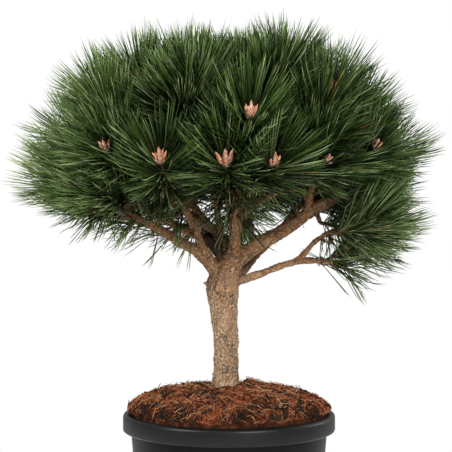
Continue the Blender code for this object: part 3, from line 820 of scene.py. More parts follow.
# Sprouts are short leafy twigs on the boughs: where each leaves, its heading and climb, how many
# millimetres long it is, its pairs of needles, its kind and its bud's size
Sprout = namedtuple("Sprout", "share heading climb length pairs kind bud", defaults=("low", 0))
SPROUTS = (
    ("front", ((0.50, 25, -50, 16, 10), (0.60, -35, -50, 20, 12), (0.74, 15, -45, 24, 16))),
    ("front", ((0.70, -60, -6, 30, 12), (0.78, 60, -6, 30, 12), (0.88, -20, -14, 34, 16))),
    ("front", ((0.96, 30, -20, 34, 16),)),
    ("front_left", ((0.45, -20, -50, 18, 10), (0.66, -50, -45, 22, 14), (0.80, -60, -4, 36, 18))),
    ("front_right", ((0.80, 60, -6, 36, 22),)),
    ("left", ((0.66, -70, -20, 8, 3), (0.76, -80, -20, 12, 6), (0.85, -60, -10, 18, 6))),
    ("left", ((0.92, -90, -14, 26, 14), (0.98, -50, -4, 30, 20), (0.80, 20, 50, 50, 60, "side"))),
    ("front", ((0.70, -90, 45, 50, 70, "side"), (0.85, 90, 45, 50, 70, "side"))),
    ("front", ((0.97, 170, 60, 50, 60, "side"),)),
    ("front_left", ((0.75, 60, 50, 50, 70, "side"), (0.95, 150, 50, 50, 60, "side"))),
    ("front_right", ((0.60, -40, 50, 50, 60, "side"),)),
    ("right", ((0.70, -20, 60, 50, 60, "side"),)),
    ("left", ((1.00, -80, 45, 38, 26, "long", 0.5),)),
    ("left_rear", ((0.98, -90, -20, 30, 18), (0.85, -120, -12, 36, 22))),
    ("upper_left", ((0.60, -50, 4, 36, 20),)),
    ("upper_right_rear", ((0.34, 150, -10, 36, 18), (0.50, 120, -4, 36, 24))),
    ("right", ((0.84, 30, -34, 26, 4),)),
    ("right_fork", ((0.60, 60, 10, 34, 16),)),
    ("low_right", ((0.86, 96, -40, 12, 8), (0.94, 80, -38, 18, 12), (1.00, 95, -30, 26, 18))),
    ("low_right", ((0.90, 92, 20, 64, 70, "long"),)),
    ("low_right_front", ((0.86, 60, -55, 10, 9, "hanging"), (1.00, 80, -60, 14, 14, "hanging"))),
    ("low_right", ((0.92, -60, 30, 10, 5, "hanging"),)),
    ("rear_left", ((0.70, -150, -12, 40, 24), (0.50, 170, -28, 34, 50))),
    ("rear_left", ((0.25, 160, -10, 30, 30), (0.40, -120, -10, 30, 18))),
    ("rear_right", ((0.70, 175, -12, 40, 24), (0.50, -160, -14, 34, 50), (0.80, -150, -14, 34, 40))),
    ("right_rear", ((0.92, 175, -4, 34, 36),)),
    ("left_rear", ((0.55, -140, 0, 30, 16),)),
    ("upper_left", ((0.34, -150, 0, 30, 20),)),
    ("upper_right_rear", ((0.20, 165, -10, 30, 18),)),
)
SPROUT_UP = 0.10

# A sprig is the leafy end of a twig: its line from foot to bud, its pairs of needles, whether it
# ends a twig of the crown ("main"), fills the crown ("side") or sprouts from a bough with short
# needles ("low"), long ones ("long") or ones that hang ("hanging"), and its bud's size, 0 for none
Sprig = namedtuple("Sprig", "line pairs kind bud")


def curve(start, start_pull, end, end_pull, steps):
    return [hermite(start, start_pull, end, end_pull, step / steps) for step in range(steps + 1)]


def add_twig(heap, points, radii, rng):
    """A rough twig, ringed by the stubs of old scales."""

    def stubs(ring, side):
        return SCALE_SWELL * ((ring + side) % 2) + rng.uniform(-SCALE_ROUGHNESS, SCALE_ROUGHNESS)

    points, radii = resampled(points, radii, TWIG_STEP)
    add_tube(heap, points, radii, TWIG_SIDES, stubs)


def make_twigs():
    """Makes the twigs as one piece, and gives back the leafy sprigs that they end in."""
    heap = Heap()
    rng = random.Random(SEED + 2)
    sprigs = []

    def grow(line, radii, pairs, kind, bud=0):
        add_twig(heap, line, radii, rng)
        sprigs.append(Sprig(line, pairs, kind, bud))

    for bough in BOUGHS:
        shoots = CARRIED[bough.name]
        fullness = LOW_FULLNESS if bough.tier.startswith("low") else 1.0
        limb = LIMBS[bough.name]
        tip, radius = limb.points[-1], limb.radii[-1]
        way = (tip - limb.points[-2]).normalized()
        middle = sum((shoot.bud for shoot in shoots), Vector()) / len(shoots)
        stem_length = STEM_SHARE * (middle - tip).length
        root = tip - way * STEM_SINK
        bent = (way + (middle - tip).normalized()).normalized()
        fork = tip + bent * stem_length * 0.7
        stem = curve(root, way * stem_length, fork, bent * stem_length, 5)
        add_twig(heap, stem, [radius * (1 - STEM_THINNING * step) for step in range(6)], rng)
        thick = min(radius * 0.85, TWIG_RADIUS)
        for shoot in shoots:
            leafy = min(LEAFY_LENGTH, LEAFY_SHARE * (shoot.bud - fork).length)
            onward = (shoot.direction + (shoot.bud - fork).normalized()).normalized()
            foot = shoot.bud - onward * leafy
            pull = (foot - fork).length * TWIG_PULL
            twig = curve(fork, bent * pull, foot, onward * pull, 8)
            add_twig(heap, twig, [thick] * len(twig), rng)
            upward = (shoot.direction + UP * TIP_TURN_UP).normalized()
            line = curve(foot, onward * leafy, shoot.bud, upward * leafy, 6)
            radii = [thick * 0.9] * 4 + [LEAFY_RADIUS] * 3
            grow(line, radii, round(PAIRS_MAIN * fullness), "main", shoot.size)
            for _ in range(SIDE_SHOOTS.get(bough.tier, 1)):
                start = twig[rng.choice((4, 5, 6))]
                turned = Vector([rng.uniform(-1, 1) for _ in range(3)])
                side = (shoot.direction + turned.cross(shoot.direction) * SIDE_TURN).normalized()
                side = (side + UP * SIDE_UP).normalized()
                pull = side * (SIDE_LENGTH * rng.uniform(0.75, 1.0))
                line = curve(start, pull, start + pull, pull, 4)
                grow(line, [LEAFY_RADIUS] * len(line), round(PAIRS_SIDE * fullness), "side")
    for bough_name, rows in SPROUTS:
        for sprout in [Sprout(*row) for row in rows]:
            start = along(LIMBS[bough_name], sprout.share)
            length = sprout.length / 1000
            side = heading_vector(sprout.heading, sprout.climb)
            tip = start + (side + UP * SPROUT_UP) * length
            line = curve(start, side * length, tip, side * length, 4)
            grow(line, [LEAFY_RADIUS] * len(line), sprout.pairs, sprout.kind, sprout.bud)
    heap.made("twigs", twig_finish(), "bark")
    return sprigs


# Needles: pairs wound round each sprig, wide at its foot and close round its bud, bent forward
# and drawn together at their tips into tufts
NEEDLE_LENGTH = 0.098
NEEDLE_RADIUS = 0.00066
SPREAD_FOOT = 64.0
SPREAD_BUD = 38.0
SPREAD_JITTER = 11.0
CROWDING = 0.85
TURN_SLACK = 0.25
LENGTH_RANGE = (0.86, 1.03)
SPLAY_RANGE = (0.4, 1.3)
SURFACE_SHARE = 0.7
LEAFY_END = 0.93
PAIRS_MAIN = 205
PAIRS_SIDE = 112
PAIR_SPLAY = 0.060
FORWARD_BEND = 0.42
TUFT_SIZE = 10
DRAWN_LEAST = 0.05
DRAWN_MOST = 0.62
HANGING_LOSS = 0.44
HANGING_SHED = 0.62
HANGING_FROM = -0.36
INWARD_MOST = 0.05
INWARD_CLIMB = 0.25
LIMB_MARGIN = 0.0005
STRAW_SHARE = 0.002
NEEDLE_STOPS = (0.0, 0.80)
NEEDLE_TAPER = (0.90, 0.96)
NEEDLE_GUIDE = (0.37, 0.61, -0.70)

# Tints: the darkest and the lightest needle of each, and how common it is
TINTS = (
    ("deep", srgb(17, 29, 8), srgb(32, 50, 14), 0.27),
    ("shade", srgb(32, 50, 15), srgb(52, 76, 25), 0.23),
    ("leaf", srgb(52, 74, 26), srgb(78, 105, 43), 0.21),
    ("fresh", srgb(76, 98, 46), srgb(108, 132, 70), 0.15),
    ("light", srgb(104, 124, 76), srgb(138, 156, 104), 0.09),
    ("lime", srgb(134, 146, 98), srgb(172, 182, 138), 0.025),
)
STRAW = ("straw", srgb(120, 84, 46), srgb(176, 136, 84), 0)

# Each kind of sprig: its needles' length and lift, and how common each tint is on it
Kind = namedtuple("Kind", "length lift shares")
# The side sprigs, inside the crown, favour the dark tints as painted shade; the low-growing kinds favour
# the pale tints as painted light
KINDS = {
    "main": Kind(1.0, 0.16, (1.0, 1.0, 1.0, 1.0, 1.0, 1.0)),
    "side": Kind(0.92, 0.10, (2.2, 1.6, 1.0, 0.6, 0.3, 0.1)),
    "low": Kind(0.66, -0.06, (0.6, 0.9, 1.2, 1.3, 1.4, 1.4)),
    "long": Kind(0.96, -0.10, (0.6, 0.9, 1.2, 1.3, 1.3, 1.0)),
    "hanging": Kind(0.42, -0.30, (0.5, 0.9, 1.2, 1.4, 1.5, 1.6)),
}
CROWDED_KINDS = ("main", "side")
OWN_TINT_SHARE = 0.72

# Painted light: the low and the left sprays get paler tints, as if lit more, the left ones keep nearer
# to one tint, and the low right ones sweep outwards
LOW_SPRAYS = 0.575
LOW_PAINTED_LIGHT = 0.48
LEFT_PAINTED_LIGHT = 2.6
LEFT_EVENNESS = 3.0
EVEN_TINT = 2.6
ALL_LIGHTER = 0.12
LOW_RIGHT_FROM = 0.105
LOW_RIGHT_UNDER = 0.545
LOW_RIGHT_OUTWARD = 0.42

# What shows from the front through the needles: shoots whose buds do, and the stretches of limbs
# that do (limb, from, to). The needles leave a clearing before each
OPEN_BUDS = (17, 18, 19, 20, 30, 31, 32, 45)
OPEN_LIMBS = (("right_fork", 0.0, 0.75), ("right", 0.78, 1.0), ("front", 0.0, 0.42))
BUD_CLEARING = (0.080, 0.0115)
LIMB_CLEARING = (0.170, 0.0055)
TWIG_CLEARING = (0.090, 0.0045)
LIMB_SIGHTS = 6

# Where the sky shows through the needles: (x, z, radius) on the plane through the pot's axis, and
# how far before and behind it the needles leave it clear
SKY_GAPS = (
    (0.0383, 0.508, 0.0025),
    (0.0468, 0.510, 0.0030),
    (0.0553, 0.511, 0.0035),
    (0.1020, 0.508, 0.0045),
    (0.1120, 0.515, 0.0060),
    (0.1235, 0.519, 0.0070),
    (0.1320, 0.525, 0.0050),
    (0.1370, 0.512, 0.0050),
    (0.1400, 0.524, 0.0060),
)
SKY_DEPTH = 0.25

# The shares of the way along a needle at which it is tested against what has to show
SIGHT_STOPS = (0.35, 0.5, 0.65, 0.8, 0.9, 1.0)


def unit(vectors):
    return vectors / np.linalg.norm(vectors, axis=-1, keepdims=True)


def sprig_needles(sprig, rng):
    """Roots, middles and tips of a sprig's needles (n, 3 each), and each one's tuft."""
    pairs, kind = sprig.pairs, KINDS[sprig.kind]
    line = np.array([tuple(point) for point in sprig.line])
    reach = np.linspace(0, 1, len(line))

    def on_line(shares):
        return np.stack([np.interp(shares, reach, line[:, k]) for k in range(3)], axis=1)

    share = LEAFY_END * ((np.arange(pairs) + 0.5) / pairs) ** CROWDING
    place = on_line(share)
    direction = unit(on_line(share + 0.05) - on_line(share - 0.05))
    across = unit(np.cross(direction, np.array((0.31, -0.22, 0.92))))
    over = np.cross(direction, across)
    turn = np.arange(pairs) * GOLDEN_ANGLE + rng.uniform(-TURN_SLACK, TURN_SLACK, pairs)
    side = across * np.cos(turn)[:, None] + over * np.sin(turn)[:, None]
    spread = SPREAD_FOOT + (SPREAD_BUD - SPREAD_FOOT) * share + rng.normal(0, SPREAD_JITTER, pairs)
    spread = np.radians(spread)
    way = direction * np.cos(spread)[:, None] + side * np.sin(spread)[:, None]
    way = unit(way + np.array((0, 0, kind.lift)))
    splay_axis = unit(np.cross(way, rng.normal(0, 1, (pairs, 3))))
    ways, longs = [], []
    length = NEEDLE_LENGTH * kind.length * rng.uniform(*LENGTH_RANGE, pairs)
    if sprig.kind in CROWDED_KINDS:
        length *= 1 - HANGING_LOSS * np.clip(-way[:, 2], 0, 1)
    for splay in (-PAIR_SPLAY, PAIR_SPLAY):
        ways.append(unit(way + splay_axis * splay * rng.uniform(*SPLAY_RANGE, (pairs, 1))))
        longs.append(length * rng.uniform(0.97, 1.0, pairs))
    ways, longs = np.concatenate(ways), np.concatenate(longs)[:, None]
    roots = np.tile(place + side * LEAFY_RADIUS * SURFACE_SHARE, (2, 1))
    tip_ways = unit(ways + np.tile(direction, (2, 1)) * FORWARD_BEND)
    tips = roots + unit(ways + tip_ways) * longs
    leaders = rng.choice(len(ways), max(4, len(ways) // TUFT_SIZE), replace=False)
    tuft = np.argmax(unit(tips - line[0]) @ unit(tips[leaders] - line[0]).T, axis=1)
    tips = tips + (tips[leaders][tuft] - tips) * rng.uniform(DRAWN_LEAST, DRAWN_MOST, (len(ways), 1))
    chord = tips - roots
    tips = roots + unit(chord) * np.minimum(np.linalg.norm(chord, axis=1, keepdims=True), longs)
    return roots, roots + ways * longs * 0.5, tips, tuft


def clear_of_limbs(points):
    """True for each point that lies outside every limb."""
    tree, stations = TREE
    clear = []
    for point in points:
        _, found, distance = tree.find(point)
        clear.append(distance > stations[found][3] + LIMB_MARGIN)
    return np.array(clear)


def along_bend(roots, middles, tips, stop):
    """The points at a share of the way along needles that bend from root to tip."""
    return roots * (1 - stop) ** 2 + middles * 2 * stop * (1 - stop) + tips * stop**2


def clear_of_sights(roots, middles, tips, sprigs):
    """True for each needle that leaves the open buds, limbs and long sprouts in view."""
    sights = []
    shoots = all_shoots()
    length, radius = BUD_CLEARING
    for bud in [shoots[number] for number in OPEN_BUDS]:
        sights.append((bud.bud + UP * CANDLE_LENGTH * bud.size * 0.5, length, radius * bud.size))
    for name, first, last in OPEN_LIMBS:
        for share in np.linspace(first, last, LIMB_SIGHTS):
            sights.append((along(LIMBS[name], share), *LIMB_CLEARING))
    for sprig in sprigs:
        if sprig.kind == "long":
            sights += [(point, *TWIG_CLEARING) for point in sprig.line[:-1]]
    viewpoint = Vector((CAMERA_SHIFT_X, -CAMERA_DISTANCE, CAMERA_HEIGHT))
    for x, z, radius in SKY_GAPS:
        gap = Vector((x, 0, z))
        sights.append((gap - (viewpoint - gap).normalized() * SKY_DEPTH, SKY_DEPTH * 2, radius))
    places = [along_bend(roots, middles, tips, stop) for stop in SIGHT_STOPS]
    clear = np.ones(len(roots), bool)
    for start, length, radius in sights:
        way = np.array((viewpoint - start).normalized() * length)
        for place in places:
            offset = place - np.array(start)
            share = np.clip(offset @ way / (way @ way), 0, 1)
            clear &= np.linalg.norm(offset - share[:, None] * way, axis=1) > radius
    return clear


def strands(stations, radii, guide, tips=None):
    """Three-sided strands through stations (n, steps, 3), with radii (n or 1, steps). They end in
    tips (n, 3), or in flat ends where there are none."""
    count, steps, _ = stations.shape
    chord = (stations[:, -1] if tips is None else tips) - stations[:, 0]
    across = unit(np.cross(chord, np.array(guide)))
    over = unit(np.cross(chord, across))
    corners = list(itertools.product(range(steps), range(3)))
    rows = []
    for step, side in corners:
        turn = 2 * math.pi * side / 3
        offset = across * math.cos(turn) + over * math.sin(turn)
        rows.append(stations[:, step] + offset * radii[:, step, None])
    quads = [
        (step * 3 + side, step * 3 + (side + 1) % 3, step * 3 + (side + 1) % 3 + 3, step * 3 + side + 3)
        for step, side in corners[:-3]
    ]
    end = steps * 3 - 3
    triangles = [(0, 2, 1), (end, end + 1, end + 2)]
    if tips is not None:
        rows.append(tips)
        triangles[1:] = [(end + side, end + (side + 1) % 3, end + 3) for side in range(3)]
    first = (np.arange(count) * len(rows))[:, None, None]
    faces = [(first + np.array(kind)).reshape(-1, len(kind[0])) for kind in (quads, triangles)]
    return np.stack(rows, axis=1).reshape(-1, 3), faces


def make_needles(sprigs):
    """Every needle, joined by tint into pieces that replace the frame's masses."""
    rng = np.random.RandomState(SEED)
    shares = np.array([tint[3] for tint in TINTS])
    levels = np.arange(len(TINTS))
    grown = []
    for sprig in sprigs:
        roots, middles, tips, tuft = sprig_needles(sprig, rng)
        count = len(roots)
        middle = sprig.line[len(sprig.line) // 2]
        left = max(0.0, -middle.x)
        # Painted light: sprays on the left and low down are dealt paler tints
        painted_light_bias = ALL_LIGHTER + LEFT_PAINTED_LIGHT * left + LOW_PAINTED_LIGHT * (middle.z < LOW_SPRAYS)
        weights = np.exp(painted_light_bias * levels - LEFT_EVENNESS * left * np.abs(levels - EVEN_TINT))
        weights = weights * shares * np.array(KINDS[sprig.kind].shares)
        weights /= weights.sum()
        tint = rng.choice(len(TINTS), tuft.max() + 1, p=weights)[tuft]
        shed = rng.uniform(0, 1, count) < (HANGING_SHED if sprig.kind in CROWDED_KINDS else 0)
        strayed = rng.uniform(0, 1, count) < OWN_TINT_SHARE
        tint[strayed] = rng.choice(len(TINTS), strayed.sum(), p=weights)
        tint[rng.uniform(0, 1, count) < STRAW_SHARE] = len(TINTS)
        grown.append((roots, middles, tips, tint, shed, np.full(count, sprig.kind == "hanging")))
    roots, middles, tips, tint, shed, hanging = map(np.concatenate, zip(*grown))
    keep = clear_of_limbs(tips) & clear_of_limbs(along_bend(roots, middles, tips, 0.5))
    chord = unit(tips - roots)
    outwards = (chord * unit(roots * np.array((1, 1, 0)) + 1e-9)).sum(axis=1)
    low_right = (roots[:, 0] > LOW_RIGHT_FROM) & (roots[:, 2] < LOW_RIGHT_UNDER)
    keep &= (outwards > -INWARD_MOST) | (chord[:, 2] > INWARD_CLIMB) | hanging
    keep &= (outwards > LOW_RIGHT_OUTWARD) | ~low_right | hanging
    keep &= (chord[:, 2] > HANGING_FROM) | low_right | ~shed
    keep &= clear_of_sights(roots, middles, tips, sprigs)
    radii = NEEDLE_RADIUS * np.array([NEEDLE_TAPER])
    for number, (name, dark, light, _) in enumerate((*TINTS, STRAW)):
        chosen = keep & (tint == number)
        shapes = roots[chosen], middles[chosen], tips[chosen]
        stations = np.stack([along_bend(*shapes, stop) for stop in NEEDLE_STOPS], axis=1)
        vertices, faces = strands(stations, radii, NEEDLE_GUIDE, tips[chosen])
        finish = needle_finish(f"needle_{name}", dark, light)
        needles = piece(f"needles_{name}", vertices, faces, finish)
        if number == 0:
            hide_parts(*[f"needles_{bough.name}" for bough in BOUGHS])


# Buds: a cluster of upright candles in a collar of papery scales at the end of each sprig
CANDLE_LENGTH = 0.0220
CANDLE_RADIUS = 0.0036
CANDLE_PROFILE = (
    (0.0, 0.55), (0.12, 0.85), (0.35, 1.0), (0.6, 0.86), (0.8, 0.58), (0.93, 0.26), (1.0, 0.06)
)
CANDLE_STEP = 0.0018
CANDLE_LEAN = (13, 27)
CANDLE_SWELL = 0.16
CANDLE_ROUGHNESS = 0.05
CANDLE_SIDES = 8
COLLAR_SCALES = 22
COLLAR_SCALE_LENGTH = 0.0080
COLLAR_RADIUS = 0.0018
COLLAR_LEAN = (35, 75)


def make_buds(sprigs):
    rng = random.Random(SEED + 3)
    candles, collar = Heap(), Heap()

    def ridges(ring, side):
        rough = rng.uniform(-CANDLE_ROUGHNESS, CANDLE_ROUGHNESS)
        return CANDLE_SWELL * ((ring + side) % 2) + rough

    for sprig in sprigs:
        if not sprig.bud:
            continue
        bud = sprig.line[-1]
        candle, stout = CANDLE_LENGTH * sprig.bud, CANDLE_RADIUS * sprig.bud
        direction = (bud - sprig.line[-2]).normalized()
        upright = (direction * 0.5 + UP * 0.75).normalized()
        first, second = side_vectors([bud, bud + upright])[0]
        around = rng.choice((4, 4, 5))
        start_turn = rng.uniform(0, 6.28)
        for number in range(around + 1):
            central = number == 0
            turn = start_turn + 2 * math.pi * number / around
            side = first * math.cos(turn) + second * math.sin(turn)
            lean = 0.0 if central else math.radians(rng.uniform(*CANDLE_LEAN))
            way = upright * math.cos(lean) + side * math.sin(lean)
            foot = bud + (Vector() if central else side * stout * 1.1)
            length = candle * rng.uniform(0.9, 1.1) * (1.0 if central else rng.uniform(0.7, 1.0))
            wide = stout * (1.0 if central else rng.uniform(0.75, 0.95))
            points = [foot + way * length * share for share, _ in CANDLE_PROFILE]
            radii = [wide * swell for _, swell in CANDLE_PROFILE]
            add_tube(candles, *resampled(points, radii, CANDLE_STEP), CANDLE_SIDES, ridges)
        for number in range(COLLAR_SCALES):
            turn = GOLDEN_ANGLE * number
            side = first * math.cos(turn) + second * math.sin(turn)
            lean = math.radians(rng.uniform(*COLLAR_LEAN))
            way = upright * math.cos(lean) + side * math.sin(lean)
            foot = bud + side * COLLAR_RADIUS - upright * rng.uniform(-0.001, 0.004)
            add_scale(collar, foot, way, upright, COLLAR_SCALE_LENGTH * rng.uniform(0.7, 1.2))
    candles.made("bud_candles", candle_finish(), "bark")
    collar.made("bud_scales", scale_finish(), "bark")


def add_scale(heap, foot, way, over, length):
    """A papery scale: a thin, pointed, closed blade."""
    across = way.cross(over).normalized() * length * 0.22
    thick = across.cross(way).normalized() * 0.00018
    middle = foot + way * length * 0.45
    tip = foot + way * length
    vertices = [foot - across * 0.6, foot + across * 0.6, middle - across, middle + across]
    top = [vertex + thick for vertex in vertices]
    below = [vertex - thick for vertex in vertices]
    quads = [(0, 1, 3, 2), (4, 6, 7, 5), (0, 4, 5, 1), (0, 2, 6, 4), (1, 5, 7, 3)]
    triangles = [(2, 3, 8), (6, 8, 7), (2, 8, 6), (3, 7, 8)]
    heap.add([tuple(vertex) for vertex in (*top, *below, tip)], quads, triangles)


# Soil: a lumpy mound of peat, with chips and a mat of curly coir fibres on it
SOIL_TURNS = 360
SOIL_RINGS = 90
SOIL_NECK = 0.012
SOIL_GAP = 0.0003
SOIL_SINK = 0.003
SOIL_LUMPS = ((24, 0.0046), (62, 0.0074), (140, 0.0040), (300, 0.0016))
BANK_RISE = 0.0135
BANK_FULLNESS = 12
DOME_RISE = 0.0215
DOME_SHOULDER = 0.85

# Heaps of fibre on the mound: where, how high and how wide
HEAPS = ((0.029, 0.046, 0.0085, 0.011), (-0.088, 0.030, 0.0030, 0.020))
FIBRE_STEPS = 4
FIBRE_GUIDE = (0.13, 0.21, 0.97)
FIBRE_TAPER = (0.45, 1.0, 1.0, 0.45)
FIBRE_LIFT = 0.0006
FIBRE_ARCH = 0.0014
FIBRE_WAVE = 0.0007

# How far fibres stray from their tuft's middle, and each station from its line
TUFT_SPREAD = 0.0042
FIBRE_STRAY = 0.0008

# The tufts lie between these shares of the mound's area, or on the bank this near its edge
OPEN_GROUND = (0.012, 0.89)
BANK_WIDTH = 0.10

# Fibres and shreds: how many tufts, how many in each, their radius, length, bend and how far they
# stand up, their patches (1 the light ones, -1 the dark ones), their share on the bank by the
# rim, and their colours
Fibre = namedtuple("Fibre", "name tufts each radius length bend rise patch bank dark light")
FIBRES = (
    Fibre("red", 600, 9, 0.00030, 0.012, 0.46, 0.12, 1, 0.16, (116, 56, 31), (192, 112, 68)),
    Fibre("brown", 380, 9, 0.00030, 0.013, 0.46, 0.12, -1, 0.34, (36, 20, 12), (92, 52, 31)),
    Fibre("straw", 560, 1, 0.00024, 0.022, 0.16, 0.16, 1, 0.03, (184, 130, 84), (242, 206, 160)),
    Fibre("shred", 820, 1, 0.00062, 0.010, 0.12, 0.26, 1, 0.14, (126, 66, 37), (208, 134, 86)),
    Fibre("dark_shred", 900, 1, 0.00090, 0.010, 0.12, 0.26, -1, 0.40, (20, 12, 8), (54, 32, 21)),
)
PATCH_SCALE = 30
CHIPS = 1500
LUMPS = 110
LUMPS_FROM = 0.72
LUMP_SIZE = 1.8
CHIP_SIZES = (0.0010, 0.0028)
CHIP_COLOURS = {
    "dark": (srgb(16, 11, 9), srgb(46, 32, 24)),
    "red": (srgb(84, 42, 24), srgb(142, 80, 48)),
}

# Dark clods by the front of the rim: where, and how large
CLODS = (
    (0.012, -0.1335, 0.0050),
    (0.021, -0.1325, 0.0060),
    (0.056, -0.1215, 0.0050),
    (0.065, -0.1175, 0.0062),
    (0.075, -0.1110, 0.0050),
    (-0.084, -0.1050, 0.0048),
    (-0.092, -0.0985, 0.0040),
    (-0.115, -0.0690, 0.0046),
    (-0.046, -0.1260, 0.0040),
)

# At its sides the bank spreads over the rim: how far, where it starts, and how narrowly
SPILL = 0.0075
SPILL_FROM = 0.110
SPILL_FOCUS = 8


def pot_wall_radius(height):
    """The wall's outer radius at that height."""
    return POT_BASE_RADIUS + (POT_SHOULDER_RADIUS - POT_BASE_RADIUS) * height / POT_HEIGHT


def inner_radius(height):
    return pot_wall_radius(height) - POT_WALL


def soil_surface(x, y):
    """The mound's height at a place, with its lumps."""
    edge = inner_radius(SOIL_EDGE_HEIGHT)
    share = min(1.0, math.hypot(x, y) / edge)
    rise = BANK_RISE * (1 - share**BANK_FULLNESS) ** 0.5 + DOME_RISE * (1 - share**2) ** DOME_SHOULDER
    heaps = sum(
        high * math.exp(-((x - at_x) ** 2 + (y - at_y) ** 2) / wide**2)
        for at_x, at_y, high, wide in HEAPS
    )
    lumps = sum(
        depth * (0.5 - abs(noise.noise(Vector((x, y, 0.4)) * scale))) for scale, depth in SOIL_LUMPS
    )
    fade = min(1.0, (1 - share) * 12 + 0.75)
    return SOIL_EDGE_HEIGHT - SOIL_SINK + rise + (heaps + lumps) * fade


def spilled(points):
    """The mound's points (n, 3), with what stands above the rim spread over it at both sides."""
    points = np.asarray(points, float)
    reach = np.maximum(np.linalg.norm(points[:, :2], axis=1), 1e-6)
    side = np.abs(points[:, 0] / reach) ** SPILL_FOCUS
    near = np.clip((reach - SPILL_FROM) / (inner_radius(SOIL_EDGE_HEIGHT) - SPILL_FROM), 0, 1)
    over = np.clip((points[:, 2] - POT_HEIGHT - 0.001) / 0.003, 0, 1)
    points[:, :2] *= (1 + SPILL * side * near * over / reach)[:, None]
    return points


def make_soil():
    """The mound, closed down to the pot's floor, and what lies on it."""
    floor = POT_FLOOR + SOIL_GAP
    turns = [2 * math.pi * step / SOIL_TURNS for step in range(SOIL_TURNS)]
    vertices = []
    for height in (floor, SOIL_EDGE_HEIGHT - SOIL_NECK):
        reach = inner_radius(height) - SOIL_GAP
        vertices += [(math.cos(turn) * reach, math.sin(turn) * reach, height) for turn in turns]
    for ring in range(SOIL_RINGS):
        reach = (inner_radius(SOIL_EDGE_HEIGHT) - SOIL_GAP) * (1 - ring / SOIL_RINGS)
        places = [(math.cos(turn) * reach, math.sin(turn) * reach) for turn in turns]
        vertices += [(x, y, soil_surface(x, y)) for x, y in places]
    vertices += [(0, 0, floor), (0, 0, soil_surface(0, 0))]
    faces = tube_faces(SOIL_RINGS + 2, SOIL_TURNS)
    mound = piece("soil_mound", spilled(vertices), faces, soil_finish())
    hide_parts("soil")
    make_fibres()
    make_chips()


def make_fibres():
    """Curly coir fibres and straighter shreds, lying on the mound and standing off it."""
    rng = np.random.RandomState(SEED + 5)
    reach = inner_radius(SOIL_EDGE_HEIGHT) - 0.001
    for fibre in FIBRES:
        tried = fibre.tufts * 3
        shares_out = np.sqrt(rng.uniform(*OPEN_GROUND, tried))
        on_bank = rng.uniform(0, 1, tried) < fibre.bank
        shares_out[on_bank] = 1 - BANK_WIDTH * rng.uniform(0, 1, on_bank.sum()) ** 2.2
        turns = rng.uniform(0, 2 * math.pi, tried)
        places = zip(reach * shares_out * np.cos(turns), reach * shares_out * np.sin(turns))
        patches = [noise.noise(Vector((x, y, 0.7)) * PATCH_SCALE) * fibre.patch for x, y in places]
        chosen = np.flatnonzero(np.array(patches) > rng.normal(-0.06, 0.20, tried))[: fibre.tufts]
        count = len(chosen) * fibre.each
        radius = reach * np.repeat(shares_out[chosen], fibre.each)
        turn = np.repeat(turns[chosen], fibre.each)
        heading = np.repeat(rng.uniform(0, 2 * math.pi, len(chosen)), fibre.each)
        heading = heading + rng.normal(0, 0.6, count)
        bend = rng.normal(0, fibre.bend, count)
        length = fibre.length * rng.uniform(0.5, 1.5, count)
        arch = np.abs(rng.normal(0, FIBRE_ARCH, count))
        rise = np.abs(rng.normal(0, fibre.rise, count)) * length
        wave = rng.uniform(0, 6.28, count)
        x = radius * np.cos(turn) + rng.normal(0, TUFT_SPREAD, count)
        y = radius * np.sin(turn) + rng.normal(0, TUFT_SPREAD, count)
        stations = []
        for share in np.linspace(0, 1, FIBRE_STEPS):
            places = np.stack([x, y], axis=1) + rng.normal(0, FIBRE_STRAY, (count, 2))
            far = np.linalg.norm(places, axis=1)
            places *= np.minimum(1.0, reach / np.maximum(far, 1e-6))[:, None]
            height = np.array([soil_surface(*place) for place in places]) + FIBRE_LIFT
            height += arch * math.sin(math.pi * share) + rise * share
            height += FIBRE_WAVE * np.sin(wave + share * 7)
            stations.append(np.column_stack([places, height]))
            x = x + np.cos(heading) * length / (FIBRE_STEPS - 1)
            y = y + np.sin(heading) * length / (FIBRE_STEPS - 1)
            heading = heading + bend
        radii = np.outer(fibre.radius * rng.uniform(0.6, 1.3, count), FIBRE_TAPER)
        vertices, faces = strands(np.stack(stations, axis=1), radii, FIBRE_GUIDE)
        finish = fibre_finish(f"fibre_{fibre.name}_finish", srgb(*fibre.dark), srgb(*fibre.light))
        piece(f"soil_fibres_{fibre.name}", spilled(vertices), faces, finish)


def icosahedron():
    """Corners and faces of a regular solid of twenty triangles."""
    gold = (1 + math.sqrt(5)) / 2
    corners = []
    for a, b in ((-1, -gold), (1, -gold), (-1, gold), (1, gold)):
        corners += [(a, b, 0), (0, a, b), (b, 0, a)]
    corners = [Vector(corner).normalized() for corner in corners]
    edge = min((corners[0] - other).length for other in corners[1:])
    faces = []
    for numbers in itertools.combinations(range(12), 3):
        i, j, k = numbers
        first, second, third = [corners[number] for number in numbers]
        sides = (first - second, second - third, first - third)
        if all(side.length < edge * 1.1 for side in sides):
            outward = (second - first).cross(third - first).dot(first) > 0
            faces.append((i, j, k) if outward else (i, k, j))
    return corners, faces


